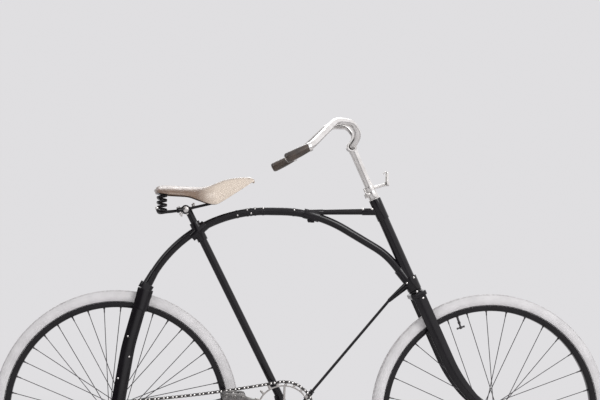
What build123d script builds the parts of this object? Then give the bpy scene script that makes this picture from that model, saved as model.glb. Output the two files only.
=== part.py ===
from build123d import *
import os
from collections import namedtuple
from math import acos, atan2, cos, degrees, radians, sin, sqrt

# Safety bicycle of about 1890 with an arched backbone, a straight top stay, a tie rod and air tyres.
# Millimetres: +X forward, +Y to the rider's left, +Z up, origin where the rider sits on the saddle.
# Places are written as (distance forward of the rear axle, height above the ground).

# Driving dimensions
SEAT = (180.0, 1090.0)                 # where the rider sits, the part's origin
WHEEL_RADIUS = 381.0                   # 30 inch wheels, over the tyres
WHEELBASE = 1182.6
TUBE_RADIUS = 12.7                     # one inch frame tube
LUG_SLEEVE = TUBE_RADIUS + 3.5         # outside of a lug round such a tube
REAR_AXLE = (0.0, WHEEL_RADIUS)
FRONT_AXLE = (WHEELBASE, WHEEL_RADIUS)
BOTTOM_BRACKET = (518.6, 388.0)
STEERING_FOOT = (942.1, 761.3)         # where the steering axis meets the fork crown
STEERING_SLOPE = 0.465                 # the axis goes back this much for each millimetre up
HEAD_LOW = 774.0                       # heights of the head tube's two ends
HEAD_HIGH = 1059.0
HEAD_RADIUS = 17.0
COLUMN_RADIUS = 12.7
AXLE_RADIUS = 5.0
RUNNING_GAP = 0.3                      # between a shaft and the bore that turns on it
CHAIN_PITCH = 28.575
CHAINWHEEL_TEETH = 21
SPROCKET_TEETH = 8
CHAIN_LINE = -52.0                     # the chain's middle, on the right-hand side
CRANK_LENGTH = 170.0
CRANK_ANGLE = 160.0                    # right crank at rest, in degrees from forward, rising

SIDES = (("right", -1), ("left", 1))
BASE = (Align.CENTER, Align.CENTER, Align.MIN)
PAST = 100.0                           # a drill's reach each way from the middle, past any piece

os.makedirs("parts", exist_ok=True)


def at(spot, y=0.0):
    """The point of the part's frame that lies at a spot of the side view and y to the left."""
    return Vector(spot[0] - SEAT[0], y, spot[1] - SEAT[1])


def side_plane(y):
    """The upright plane at y whose own coordinates are those of the side view; it faces right."""
    return Plane(origin=at((0, 0), y), x_dir=(1, 0, 0), z_dir=(0, -1, 0))


def steering_spot(height):
    """The spot of the steering axis at a height above the ground."""
    return (STEERING_FOOT[0] - STEERING_SLOPE * (height - STEERING_FOOT[1]), height)


def turned(centre, radius, angle):
    """The spot at a radius and an angle from a centre, in the side view."""
    return (centre[0] + radius * cos(radians(angle)), centre[1] + radius * sin(radians(angle)))


def bar(start, end, radius, end_radius=None):
    """Add a round bar from start to end, tapered where an end radius is given."""
    length = (end - start).length
    with Locations(Plane(origin=start, z_dir=end - start)):
        if end_radius is None:
            Cylinder(radius, length, align=BASE)
        else:
            Cone(radius, end_radius, length, align=BASE)


def drill(start, end, radius):
    """Cut a round hole from start to end."""
    with Locations(Plane(origin=start, z_dir=end - start)):
        Cylinder(radius, (end - start).length, align=BASE, mode=Mode.SUBTRACT)


def blade_plane(foot, foot_y, head, head_y):
    """The plane of a fork blade: its own origin is the axle, and it leans in towards the crown."""
    lean = Vector(0, head_y - foot_y, head[1] - foot[1]).normalized()
    return Plane(origin=at(foot, foot_y), x_dir=(1, 0, 0), z_dir=Vector(1, 0, 0).cross(lean))


def keep(piece, name):
    """Label a finished piece and write it to its own file."""
    piece.part.label = name
    export_step(piece.part, f"parts/{name}.step")


# Backbone: one tube from the rear crown over the wheel to the foot of the head
REAR_CROWN = (81.9, 767.0)
ARCH_CORNERS = ((218.5, 1016.0), (617.0, 1016.0), (843.0, 885.5))
ARCH_RADII = (410.0, 400.0, 230.0)
ARCH_FRONT = (905.0, 811.6)

with BuildPart() as arch_tube:
    with BuildLine(side_plane(0)) as arch_route:
        FilletPolyline(REAR_CROWN, *ARCH_CORNERS, ARCH_FRONT, radius=ARCH_RADII)
    with BuildSketch(Plane(origin=arch_route.line @ 0, z_dir=arch_route.line % 0)):
        Circle(TUBE_RADIUS)
    sweep(path=arch_route.line)
    drill(at(steering_spot(HEAD_LOW)), at(steering_spot(HEAD_HIGH)), HEAD_RADIUS)
keep(arch_tube, "arch_tube")

# Rear fork: two wide flat blades that lean in from the axle to a crown above the tyre
REAR_BLADE_WIDTH = 41.5
REAR_BLADE_THICKNESS = 15.0
REAR_BLADE_FOOT_Y = 72.0
REAR_BLADE_HEAD_Y = 41.0
REAR_BLADE_CORNER = (33.0, 205.0)      # measured from the axle
REAR_BLADE_BEND = 600.0
REAR_END_FACE = 64.5                   # inner face of a fork end, from the middle
REAR_END_THICKNESS = 8.0
REAR_END_RADIUS = 19.0

REAR_BLADE_START = (2.0, 14.0)
REAR_BLADE_HEAD = (REAR_CROWN[0] - REAR_AXLE[0], REAR_CROWN[1] - REAR_AXLE[1])

for side, sign in SIDES:
    plane = blade_plane(REAR_AXLE, sign * REAR_BLADE_FOOT_Y, REAR_CROWN, sign * REAR_BLADE_HEAD_Y)
    end_inner = at(REAR_AXLE, sign * REAR_END_FACE)
    end_outer = at(REAR_AXLE, sign * (REAR_END_FACE + REAR_END_THICKNESS))
    with BuildPart() as rear_fork:
        with BuildLine(plane) as blade_route:
            FilletPolyline(REAR_BLADE_START, REAR_BLADE_CORNER, REAR_BLADE_HEAD, radius=REAR_BLADE_BEND)
        section = Plane(origin=blade_route.line @ 0, x_dir=plane.z_dir, z_dir=blade_route.line % 0)
        with BuildSketch(section):
            Ellipse(REAR_BLADE_THICKNESS / 2, REAR_BLADE_WIDTH / 2)
        sweep(path=blade_route.line)
        bar(end_inner, end_outer, REAR_END_RADIUS)
        with Locations(Plane(origin=at(REAR_AXLE, 0), z_dir=(0, sign, 0))):
            Cylinder(REAR_END_RADIUS * 2, REAR_END_FACE, align=BASE, mode=Mode.SUBTRACT)
        drill(at(REAR_AXLE, 0), at(REAR_AXLE, sign * PAST), AXLE_RADIUS + RUNNING_GAP)
    keep(rear_fork, f"rear_fork_{side}")

CROWN_LENGTH = 44.0
CROWN_WIDTH = 98.0
CROWN_THICKNESS = 20.0
CROWN_CORNER = 12.0
CROWN_SLEEVE = 62.0
CROWN_LEAN = degrees(atan2(ARCH_CORNERS[0][1] - REAR_CROWN[1], ARCH_CORNERS[0][0] - REAR_CROWN[0]))
CHEEK_REACH = 66.0                     # the crown's cheeks wrap the tops of the blades
CHEEK_FORWARD = 3.0
CHEEK_ENDS = ((9.5, 24.5), (8.5, 22.0))    # half thickness and half width, at the top and the foot

with BuildPart() as rear_crown:
    crown_up = (cos(radians(CROWN_LEAN)), 0, sin(radians(CROWN_LEAN)))
    with BuildSketch(Plane(origin=at(REAR_CROWN), x_dir=(0, 1, 0), z_dir=crown_up)):
        RectangleRounded(CROWN_WIDTH, CROWN_LENGTH, CROWN_CORNER)
    extrude(amount=CROWN_THICKNESS)
    bar(at(REAR_CROWN), at(turned(REAR_CROWN, CROWN_SLEEVE, CROWN_LEAN)), LUG_SLEEVE, TUBE_RADIUS + 0.5)
    for side, sign in SIDES:
        plane = blade_plane(REAR_AXLE, sign * REAR_BLADE_FOOT_Y, REAR_CROWN, sign * REAR_BLADE_HEAD_Y)
        top = plane.from_local_coords(Vector(*REAR_BLADE_HEAD)) + Vector(CHEEK_FORWARD, 0, 0)
        corner = plane.from_local_coords(Vector(*REAR_BLADE_CORNER)) + Vector(CHEEK_FORWARD, 0, 0)
        cheek_top = Plane(origin=top, x_dir=plane.z_dir, z_dir=corner - top)
        for depth, half_sizes in zip((0.0, CHEEK_REACH), CHEEK_ENDS):
            with BuildSketch(cheek_top.offset(depth)):
                Ellipse(*half_sizes)
        loft()
keep(rear_crown, "rear_crown")

# Head, with the tube that the steering column turns in and its two lugs
with BuildPart() as head_tube:
    bar(at(steering_spot(HEAD_LOW)), at(steering_spot(HEAD_HIGH)), HEAD_RADIUS)
    drill(at(steering_spot(HEAD_LOW - 1)), at(steering_spot(HEAD_HIGH + 1)), COLUMN_RADIUS + RUNNING_GAP)
keep(head_tube, "head_tube")

LUG_RADIUS = 22.5
TIE_ROD_RADIUS = 4.5
TIE_ROD_HEAD = (866.0, 753.1)
TIE_ROD_FOOT = (553.0, 377.5)
TIE_ROD_DIRECTION = degrees(atan2(TIE_ROD_HEAD[1] - TIE_ROD_FOOT[1], TIE_ROD_HEAD[0] - TIE_ROD_FOOT[0]))
ROD_SOCKET = ((917.0, 794.3), (853.0, 737.6))    # from the head down to the rod, less steep than it
SOCKET_RADII = (12.0, 6.0)

HEAD_LUG_HIGH = 814.0
ARCH_SLOPE = 130.0                     # the backbone's slope where it meets the head
ARCH_SOCKET = (-14.0, 34.0)            # where its socket starts and ends, along it

with BuildPart() as head_lug_bottom:
    bar(at(steering_spot(HEAD_LOW)), at(steering_spot(HEAD_LUG_HIGH)), LUG_RADIUS)
    bar(*[at(turned(ARCH_FRONT, along, ARCH_SLOPE)) for along in ARCH_SOCKET], LUG_SLEEVE)
    bar(at(ROD_SOCKET[0]), at(ROD_SOCKET[1]), *SOCKET_RADII)
    drill(at(steering_spot(HEAD_LOW - 1)), at(steering_spot(HEAD_HIGH)), HEAD_RADIUS)
keep(head_lug_bottom, "head_lug_bottom")

TOP_STAY_REAR = (600.0, 1015.0)
TOP_STAY_FRONT = (792.0, 1020.0)
TOP_STAY_RADII = (8.0, 10.0)
UPPER_LUG_LOW = 996.0
UPPER_LUG_RADIUS = 19.0
UPPER_SOCKET = ((812.0, 1020.0), (764.0, 1019.3))
UPPER_SOCKET_RADIUS = 11.5

with BuildPart() as head_lug_top:
    bar(at(steering_spot(UPPER_LUG_LOW)), at(steering_spot(HEAD_HIGH)), UPPER_LUG_RADIUS)
    bar(at(UPPER_SOCKET[0]), at(UPPER_SOCKET[1]), UPPER_SOCKET_RADIUS)
    drill(at(steering_spot(UPPER_LUG_LOW - 2)), at(steering_spot(HEAD_HIGH + 2)), HEAD_RADIUS)
keep(head_lug_top, "head_lug_top")

with BuildPart() as top_stay:
    bar(at(TOP_STAY_REAR), at(TOP_STAY_FRONT), *TOP_STAY_RADII)
keep(top_stay, "top_stay")

# the junction's sleeves, on the backbone, on the stay and down from them: two ends and a radius
JUNCTION_SLEEVES = (
    ((578.0, 1012.0), (628.0, 999.0), LUG_SLEEVE),
    ((590.0, 1014.0), (640.0, 1015.0), 10.5),
    ((606.0, 1004.0), (606.0, 982.0), 6.5),
)

with BuildPart() as junction_lug:
    for start, end, radius in JUNCTION_SLEEVES:
        bar(at(start), at(end), radius)
keep(junction_lug, "junction_lug")

# Seat tube, bottom bracket and the rods that brace it
SEAT_LUG = (247.0, 951.0)
SEAT_TUBE_FOOT = (524.0, 405.0)
ARCH_ANGLE_AT_SEAT = 42.0              # the backbone's slope where the seat tube meets it
SEAT_TUBE_ANGLE = degrees(atan2(SEAT_LUG[1] - SEAT_TUBE_FOOT[1], SEAT_LUG[0] - SEAT_TUBE_FOOT[0]))
SHELL_RADIUS = 24.0
SHELL_HALF_WIDTH = 38.0
CRANK_AXLE_RADIUS = 8.0

with BuildPart() as seat_tube:
    bar(at(SEAT_TUBE_FOOT), at(SEAT_LUG), TUBE_RADIUS)
keep(seat_tube, "seat_tube")

SEAT_LUG_SLEEVES = ((SEAT_TUBE_ANGLE, -34.0, 30.0), (ARCH_ANGLE_AT_SEAT, -30.0, 30.0))

with BuildPart() as seat_lug:
    for angle, below, above in SEAT_LUG_SLEEVES:
        bar(at(turned(SEAT_LUG, below, angle)), at(turned(SEAT_LUG, above, angle)), LUG_SLEEVE)
keep(seat_lug, "seat_lug")

SHELL_SOCKET_LENGTH = 36.0
ROD_EYE = (530.0, 380.0)
ROD_SOCKET_LENGTH = 16.0
ROD_SOCKET_RADIUS = 9.0

with BuildPart() as bottom_bracket_shell:
    bar(at(BOTTOM_BRACKET, -SHELL_HALF_WIDTH), at(BOTTOM_BRACKET, SHELL_HALF_WIDTH), SHELL_RADIUS)
    bar(at(BOTTOM_BRACKET), at(turned(SEAT_TUBE_FOOT, SHELL_SOCKET_LENGTH, SEAT_TUBE_ANGLE)), LUG_SLEEVE)
    bar(at(ROD_EYE), at(turned(TIE_ROD_FOOT, ROD_SOCKET_LENGTH, TIE_ROD_DIRECTION)), ROD_SOCKET_RADIUS)
    drill(at(BOTTOM_BRACKET, -PAST), at(BOTTOM_BRACKET, PAST), CRANK_AXLE_RADIUS + RUNNING_GAP)
keep(bottom_bracket_shell, "bottom_bracket_shell")

with BuildPart() as tie_rod:
    bar(at(TIE_ROD_FOOT), at(TIE_ROD_HEAD), TIE_ROD_RADIUS)
keep(tie_rod, "tie_rod")

STAY_RADIUS = 6.5
STAY_FRONT = (BOTTOM_BRACKET[0] - 19, BOTTOM_BRACKET[1] - 1)
STAY_REAR = (REAR_AXLE[0] + 14, REAR_AXLE[1])
STAY_SHELL_Y = 29.0
STAY_END_Y = 70.0

for side, sign in SIDES:
    with BuildPart() as lower_stay:
        bar(at(STAY_FRONT, sign * STAY_SHELL_Y), at(STAY_REAR, sign * STAY_END_Y), STAY_RADIUS)
    keep(lower_stay, f"lower_stay_{side}")

REAR_AXLE_END = 88.0
REAR_COLLAR = (60.0, 9.0)              # where the collar beside the hub starts, and its radius
REAR_NUT_FACE = REAR_END_FACE + REAR_END_THICKNESS
REAR_NUT = (11.0, 9.0)                 # corner radius and thickness
STEP_RADIUS = 8.5
STEP_END = 128.0

with BuildPart() as rear_axle:
    bar(at(REAR_AXLE, -REAR_AXLE_END), at(REAR_AXLE, REAR_AXLE_END), AXLE_RADIUS)
    for side, sign in SIDES:
        bar(at(REAR_AXLE, sign * REAR_COLLAR[0]), at(REAR_AXLE, sign * REAR_END_FACE), REAR_COLLAR[1])
        with BuildSketch(Plane(origin=at(REAR_AXLE, sign * REAR_NUT_FACE), z_dir=(0, sign, 0))):
            RegularPolygon(REAR_NUT[0], 6)
        extrude(amount=REAR_NUT[1])
keep(rear_axle, "rear_axle")

with BuildPart() as mounting_step:
    bar(at(REAR_AXLE, REAR_NUT_FACE + REAR_NUT[1]), at(REAR_AXLE, STEP_END), STEP_RADIUS)
    drill(at(REAR_AXLE, 0), at(REAR_AXLE, REAR_AXLE_END + 2), AXLE_RADIUS)
keep(mounting_step, "mounting_step")

# Saddle: a long leather top slung between a rear frame on coil springs and a nose
PILLAR_RADIUS = 11.0
PILLAR_LENGTH = 80.0
PILLAR_TOP = turned(SEAT_LUG, PILLAR_LENGTH, SEAT_TUBE_ANGLE)

with BuildPart() as seat_pillar:
    bar(at(SEAT_LUG), at(PILLAR_TOP), PILLAR_RADIUS)
keep(seat_pillar, "seat_pillar")

WIRE_RADIUS = 4.0
WIRE_Y = 20.0
WIRE_NOSE = ((408.0, 1112.0), 9.0)     # (spot, distance out from the middle)
WIRE_WAIST = (322.0, 1050.0)
CLIP_SPOT = (206.0, 1017.0)
CLIP_BARREL = (29.0, 14.0)             # half length and radius
CLIP_PIN = (37.0, 7.0)
CLIP_SLEEVE = ((216.0, 1019.0, 18.0), (180.0, 1016.0, 33.0))    # the sleeve round a wire, end to end
CLIP_SLEEVE_RADIUS = 8.0
CLIP_BOLTS = (                         # (top, foot, distance out)
    ((184.0, 1019.0), (195.0, 996.0), 31.0),
    ((202.0, 1019.0), (212.0, 1002.0), 23.0),
)
CLIP_BOLT_RADIUS = 3.5

with BuildPart() as saddle_clip:
    for half_length, radius in (CLIP_BARREL, CLIP_PIN):
        bar(at(CLIP_SPOT, -half_length), at(CLIP_SPOT, half_length), radius)
    for side, sign in SIDES:
        sleeve_ends = [at((x, z), sign * out) for x, z, out in CLIP_SLEEVE]
        bar(*sleeve_ends, CLIP_SLEEVE_RADIUS)
        for top, foot, out in CLIP_BOLTS:
            bar(at(top, sign * out), at(foot, sign * out), CLIP_BOLT_RADIUS)
keep(saddle_clip, "saddle_clip")

COIL_SPOT = (132.0, 1012.0)
COIL_Y = 58.0
COIL_RADIUS = 17.0
COIL_TOP = (132.0, 1086.0)
REAR_RAIL_RADIUS = 5.0
WIRE_BENDS = (50.0, 45.0)

with BuildPart() as saddle_springs:
    for side, sign in SIDES:
        wire_points = (
            at(WIRE_NOSE[0], sign * WIRE_NOSE[1]),
            at(WIRE_WAIST, sign * WIRE_Y),
            at(CLIP_SPOT, sign * WIRE_Y),
            at(COIL_SPOT, sign * COIL_Y),
        )
        with BuildLine() as wire_route:
            FilletPolyline(*wire_points, radius=WIRE_BENDS)
        with BuildSketch(Plane(origin=wire_route.line @ 0, z_dir=wire_route.line % 0)):
            Circle(WIRE_RADIUS)
        sweep(path=wire_route.line)
        bar(at(COIL_SPOT, sign * COIL_Y), at(COIL_TOP, sign * COIL_Y), COIL_RADIUS)
    bar(at(COIL_SPOT, -COIL_Y), at(COIL_SPOT, COIL_Y), REAR_RAIL_RADIUS)
keep(saddle_springs, "saddle_springs")

LEATHER = 6.0
# the saddle's side outline: over the top from the rear to the nose, then back along the lower edge
SADDLE_TOP = (
    (110.0, 1064.0), (112.0, 1091.3), (262.0, 1088.4), (345.0, 1118.5), (421.0, 1121.0), (421.0, 1108.0)
)
SADDLE_TOP_BENDS = (14.0, 110.0, 70.0, 9.0)
SADDLE_LOWER = ((392.0, 1090.0), (357.0, 1067.0), (304.0, 1034.5), (281.0, 1036.5), (218.0, 1058.0))
SADDLE_OPEN = 60.0                     # the hollow under the leather runs on this far below its edge
# half of its outline from above: the rear corner, a point of the flank, the waist and the nose
SADDLE_REAR_HALF = (122.0, 96.0)
SADDLE_FLANK = (222.0, 70.0)
SADDLE_WAIST = (296.0, 34.0)
SADDLE_NOSE_HALF = (400.0, 22.0)
SADDLE_NOSE = 421.0
SADDLE_REAR = 108.0


def saddle_side(drop):
    """The saddle's side outline, its top lowered by drop; the lowered one ends below the edge."""
    rear, nose = SADDLE_TOP[0][0] + drop, SADDLE_TOP[-1][0] - drop
    over = [(min(max(x, rear), nose), z - drop) for x, z in SADDLE_TOP]
    under = list(SADDLE_LOWER)
    if drop > 0:
        under = [(nose, SADDLE_TOP[-1][1]), *under, (rear, SADDLE_TOP[0][1])]
        under = [(x, z - SADDLE_OPEN) for x, z in under]
    with BuildLine() as outline:
        FilletPolyline(*over, radius=SADDLE_TOP_BENDS)
        Polyline(over[-1], *under, over[0])
    return outline.line


def saddle_plan(inset):
    """The saddle's outline from above, drawn inwards by inset."""
    rear_x, rear_y = SADDLE_REAR_HALF[0] + inset, SADDLE_REAR_HALF[1] - inset
    flank_y, waist_y = SADDLE_FLANK[1] - inset, SADDLE_WAIST[1] - inset
    nose_y = SADDLE_NOSE_HALF[1] - inset
    with BuildLine() as outline:
        ThreePointArc((rear_x, -rear_y), (SADDLE_REAR + inset, 0), (rear_x, rear_y))
        ThreePointArc((rear_x, rear_y), (SADDLE_FLANK[0], flank_y), (SADDLE_WAIST[0], waist_y))
        Line((SADDLE_WAIST[0], waist_y), (SADDLE_NOSE_HALF[0], nose_y))
        ThreePointArc(
            (SADDLE_NOSE_HALF[0], nose_y), (SADDLE_NOSE - inset, 0), (SADDLE_NOSE_HALF[0], -nose_y)
        )
        Line((SADDLE_NOSE_HALF[0], -nose_y), (SADDLE_WAIST[0], -waist_y))
        ThreePointArc((SADDLE_WAIST[0], -waist_y), (SADDLE_FLANK[0], -flank_y), (rear_x, -rear_y))
    return outline.line


def saddle_block(skin):
    """The block inside the saddle's outlines, inside a skin of that thickness."""
    with BuildPart(mode=Mode.PRIVATE) as block:
        with BuildSketch(side_plane(0)):
            make_face(saddle_side(skin))
        extrude(amount=PAST, both=True)
        with BuildSketch(Plane(origin=at((0, SADDLE_LOWER[2][1] - PAST)))):
            make_face(saddle_plan(skin))
        extrude(amount=2 * PAST, mode=Mode.INTERSECT)
    return block.part


with BuildPart() as saddle_leather:
    add(saddle_block(0))
    add(saddle_block(LEATHER), mode=Mode.SUBTRACT)
keep(saddle_leather, "saddle_leather")

# Steering: crown and column, curved blades, stem, bar, grips, lamp bracket and axle
CROWN_PLATE = (52.0, 104.0, 15.0)      # fore and aft, across, thick
CROWN_PLATE_CORNER = 14.0
CROWN_PLATE_LOW = 10.0                 # its underside, below the foot of the steering axis
COLUMN_OVER = 4.0                      # how far the column stands out of the head
# a blade's width, from its end to the crown: (share of the way, width)
FORK_BLADE_WIDTHS = (
    (0.0, 26.0), (0.1, 30.5), (0.2, 34.0), (0.3, 36.5), (0.4, 38.2), (0.5, 39.3), (0.75, 40.6), (1.0, 41.0)
)
FORK_BLADE_THICKNESS = 15.0
FORK_BLADE_HEAD_Y = 40.0
FORK_BLADE_FOOT_Y = 52.0
FORK_BLADE_START = (-10.0, 8.0)        # measured from the axle
FORK_CORNER = (1082.0, 459.4)
FORK_BEND = 440.0
FORK_END_RADIUS = 15.0
FORK_END_FACE = 46.0                   # inner and outer faces of a fork end, from the middle
FORK_END_OUTER = 57.0
FRONT_AXLE_END = 68.0
FRONT_NUT = (10.0, 8.0)                # corner radius and thickness
steering_up = (at(steering_spot(HEAD_HIGH)) - at(steering_spot(HEAD_LOW))).normalized()

with BuildPart() as fork_crown:
    plate_foot = at(STEERING_FOOT) - steering_up * CROWN_PLATE_LOW
    with BuildSketch(Plane(origin=plate_foot, x_dir=(0, 1, 0), z_dir=steering_up)):
        RectangleRounded(CROWN_PLATE[1], CROWN_PLATE[0], CROWN_PLATE_CORNER)
    extrude(amount=CROWN_PLATE[2])
    bar(at(STEERING_FOOT), at(steering_spot(HEAD_HIGH + COLUMN_OVER)), COLUMN_RADIUS)
keep(fork_crown, "fork_crown")

for side, sign in SIDES:
    plane = blade_plane(FRONT_AXLE, sign * FORK_BLADE_FOOT_Y, STEERING_FOOT, sign * FORK_BLADE_HEAD_Y)
    corner = (FORK_CORNER[0] - FRONT_AXLE[0], FORK_CORNER[1] - FRONT_AXLE[1])
    head = (STEERING_FOOT[0] - FRONT_AXLE[0], STEERING_FOOT[1] - FRONT_AXLE[1])
    with BuildPart() as fork_blade:
        with BuildLine(plane) as blade_route:
            FilletPolyline(FORK_BLADE_START, corner, head, radius=FORK_BEND)
        for share, width in FORK_BLADE_WIDTHS:
            place, direction = blade_route.line @ share, blade_route.line % share
            with BuildSketch(Plane(origin=place, x_dir=plane.z_dir, z_dir=direction)):
                Ellipse(FORK_BLADE_THICKNESS / 2, width / 2)
        loft()
        bar(at(FRONT_AXLE, sign * FORK_END_FACE), at(FRONT_AXLE, sign * FORK_END_OUTER), FORK_END_RADIUS)
        drill(at(FRONT_AXLE, 0), at(FRONT_AXLE, sign * PAST), AXLE_RADIUS + RUNNING_GAP)
    keep(fork_blade, f"fork_blade_{side}")

with BuildPart() as front_axle:
    bar(at(FRONT_AXLE, -FRONT_AXLE_END), at(FRONT_AXLE, FRONT_AXLE_END), AXLE_RADIUS)
    for side, sign in SIDES:
        with BuildSketch(Plane(origin=at(FRONT_AXLE, sign * FORK_END_OUTER), z_dir=(0, sign, 0))):
            RegularPolygon(FRONT_NUT[0], 6)
        extrude(amount=FRONT_NUT[1])
keep(front_axle, "front_axle")

STEM_RADIUS = 12.7
STEM_FOOT = HEAD_HIGH + COLUMN_OVER
STEM_TOP = steering_spot(1224.0)
STEM_HEAD = (21.0, 16.0)               # half length and radius of the barrel that holds the bar
BAR_RADIUS = 11.0

CLAMP_RADIUS = 16.5
CLAMP_HIGH = 1083.0
CLAMP_LUG_LOW = 1071.0                 # the split lug behind the clamp, which its bolt pulls together
CLAMP_LUG = (14.0, 25.0, 14.0)         # across, out from the axis, high
CLAMP_BOLT = (780.5, 1074.0)
CLAMP_BOLT_SIZE = (17.0, 4.5)          # half length and radius
CLAMP_LEVER = ((778.0, 1072.0), (768.5, 1092.0))
CLAMP_LEVER_RADIUS = 2.5

with BuildPart() as head_clamp:
    bar(at(steering_spot(STEM_FOOT)), at(steering_spot(CLAMP_HIGH)), CLAMP_RADIUS)
    with BuildSketch(Plane(origin=at(steering_spot(CLAMP_LUG_LOW)), x_dir=(0, 1, 0), z_dir=steering_up)):
        Rectangle(CLAMP_LUG[0], CLAMP_LUG[1], align=(Align.CENTER, Align.MIN))
    extrude(amount=CLAMP_LUG[2])
    bar(at(CLAMP_BOLT, -CLAMP_BOLT_SIZE[0]), at(CLAMP_BOLT, CLAMP_BOLT_SIZE[0]), CLAMP_BOLT_SIZE[1])
    bar(at(CLAMP_LEVER[0]), at(CLAMP_LEVER[1]), CLAMP_LEVER_RADIUS)
    drill(at(steering_spot(HEAD_HIGH)), at(steering_spot(CLAMP_HIGH + 4)), STEM_RADIUS)
keep(head_clamp, "head_clamp")

with BuildPart() as stem:
    bar(at(steering_spot(STEM_FOOT)), at(STEM_TOP), STEM_RADIUS)
    bar(at(STEM_TOP, -STEM_HEAD[0]), at(STEM_TOP, STEM_HEAD[0]), STEM_HEAD[1])
keep(stem, "stem")

BAR_POINTS = (                         # (spot, distance out from the middle)
    (STEM_TOP, 0.0),
    (STEM_TOP, 20.0),
    ((746.0, 1260.0), 40.0),
    ((722.0, 1294.0), 62.0),
    ((666.0, 1298.0), 104.0),
    ((570.0, 1204.0), 276.0),
    ((500.0, 1168.0), 281.0),
)
BAR_BENDS = (20.0, 42.0, 44.0, 85.0, 56.0)

with BuildPart() as handlebar:
    for side, sign in SIDES:
        with BuildLine() as bar_route:
            FilletPolyline(*[at(spot, sign * out) for spot, out in BAR_POINTS], radius=BAR_BENDS)
        with BuildSketch(Plane(origin=bar_route.line @ 0, z_dir=bar_route.line % 0)):
            Circle(BAR_RADIUS)
        sweep(path=bar_route.line)
keep(handlebar, "handlebar")

GRIP_RADII = (15.5, 13.5)              # at the free end and towards the stem
GRIP_REACH = (-4.0, 82.0)              # measured from the bar's end

for side, sign in SIDES:
    with BuildPart() as grip:
        bar_end = at(BAR_POINTS[-1][0], sign * BAR_POINTS[-1][1])
        bar_bend = at(BAR_POINTS[-2][0], sign * BAR_POINTS[-2][1])
        along = (bar_bend - bar_end).normalized()
        bar(bar_end + along * GRIP_REACH[0], bar_end + along * GRIP_REACH[1], *GRIP_RADII)
    keep(grip, f"grip_{side}")

BRACKET_FOOT = steering_spot(CLAMP_HIGH + 9)
BRACKET_KNEE = (842.0, 1108.0)
BRACKET_KNEE_LOW = (842.0, 1102.0)
BRACKET_SHOULDER = (842.0, 1114.0)     # the shoulder that a lamp's socket rests on
BRACKET_SHOULDER_RADIUS = 7.5
BRACKET_TOP = (842.0, 1147.0)
BRACKET_RADIUS = 5.0
BRACKET_BAND = (2.0, 17.0)             # the band round the stem, above the clamp
BRACKET_BAND_THICKNESS = 2.0

with BuildPart() as lamp_bracket:
    band_low, band_high = (at(steering_spot(CLAMP_HIGH + over)) for over in BRACKET_BAND)
    bar(band_low, band_high, STEM_RADIUS + BRACKET_BAND_THICKNESS)
    bar(at(BRACKET_FOOT), at(BRACKET_KNEE), BRACKET_RADIUS)
    bar(at(BRACKET_KNEE_LOW), at(BRACKET_SHOULDER), BRACKET_SHOULDER_RADIUS)
    bar(at(BRACKET_SHOULDER), at(BRACKET_TOP), BRACKET_RADIUS)
    drill(at(steering_spot(CLAMP_HIGH)), at(steering_spot(CLAMP_HIGH + 19)), STEM_RADIUS)
keep(lamp_bracket, "lamp_bracket")

# Wheels: air tyre, trough rim, crossed wire spokes and hub, the rear one with its sprocket
Wheel = namedtuple("Wheel", "name axle spokes first_spoke flange_y hub_end")
WHEELS = (                             # first_spoke: the angle of one spoke's outer end, in degrees
    Wheel("front", FRONT_AXLE, 32, 13.75, 30.0, 38.0),
    Wheel("rear", REAR_AXLE, 40, 7.5, 34.0, 58.0),
)
# half sections from the wheel's middle plane outwards, as (half width, radius)
TYRE_SECTION = ((0.0, 381.0), (17.5, 374.5), (25.0, 360.0), (15.5, 346.0))
RIM_SECTION = ((11.0, 330.5), (18.0, 341.0), (18.5, 349.6), (20.5, 349.6), (20.5, 340.0), (12.0, 327.5))
FLANGE_RADIUS = 25.0
FLANGE_THICKNESS = 4.0
HUB_RADIUS = 15.0
SPOKE_RADIUS = 1.3
SPOKE_CIRCLE = 22.0                    # radius that the spokes are tangent to, in the flanges
SPOKE_OFFSET = 2.6                     # crossing spokes leave the flange from its two faces
SPOKE_RIM = 329.5


def both_halves(half_section):
    """A closed section, from its points on one side of the wheel's middle plane."""
    mirrored = [(-width, radius) for width, radius in half_section if width > 0]
    return [*half_section, *reversed(mirrored)]


def ring_about(axle, section):
    """Add the ring that a closed section of (across, radius) makes about an axle."""
    with BuildSketch(Plane(origin=at(axle), x_dir=(0, 1, 0), z_dir=(1, 0, 0))) as profile:
        with BuildLine():
            Polyline(*section, close=True)
        make_face()
    revolve(profile.sketch, axis=Axis(at(axle), (0, 1, 0)))


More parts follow.
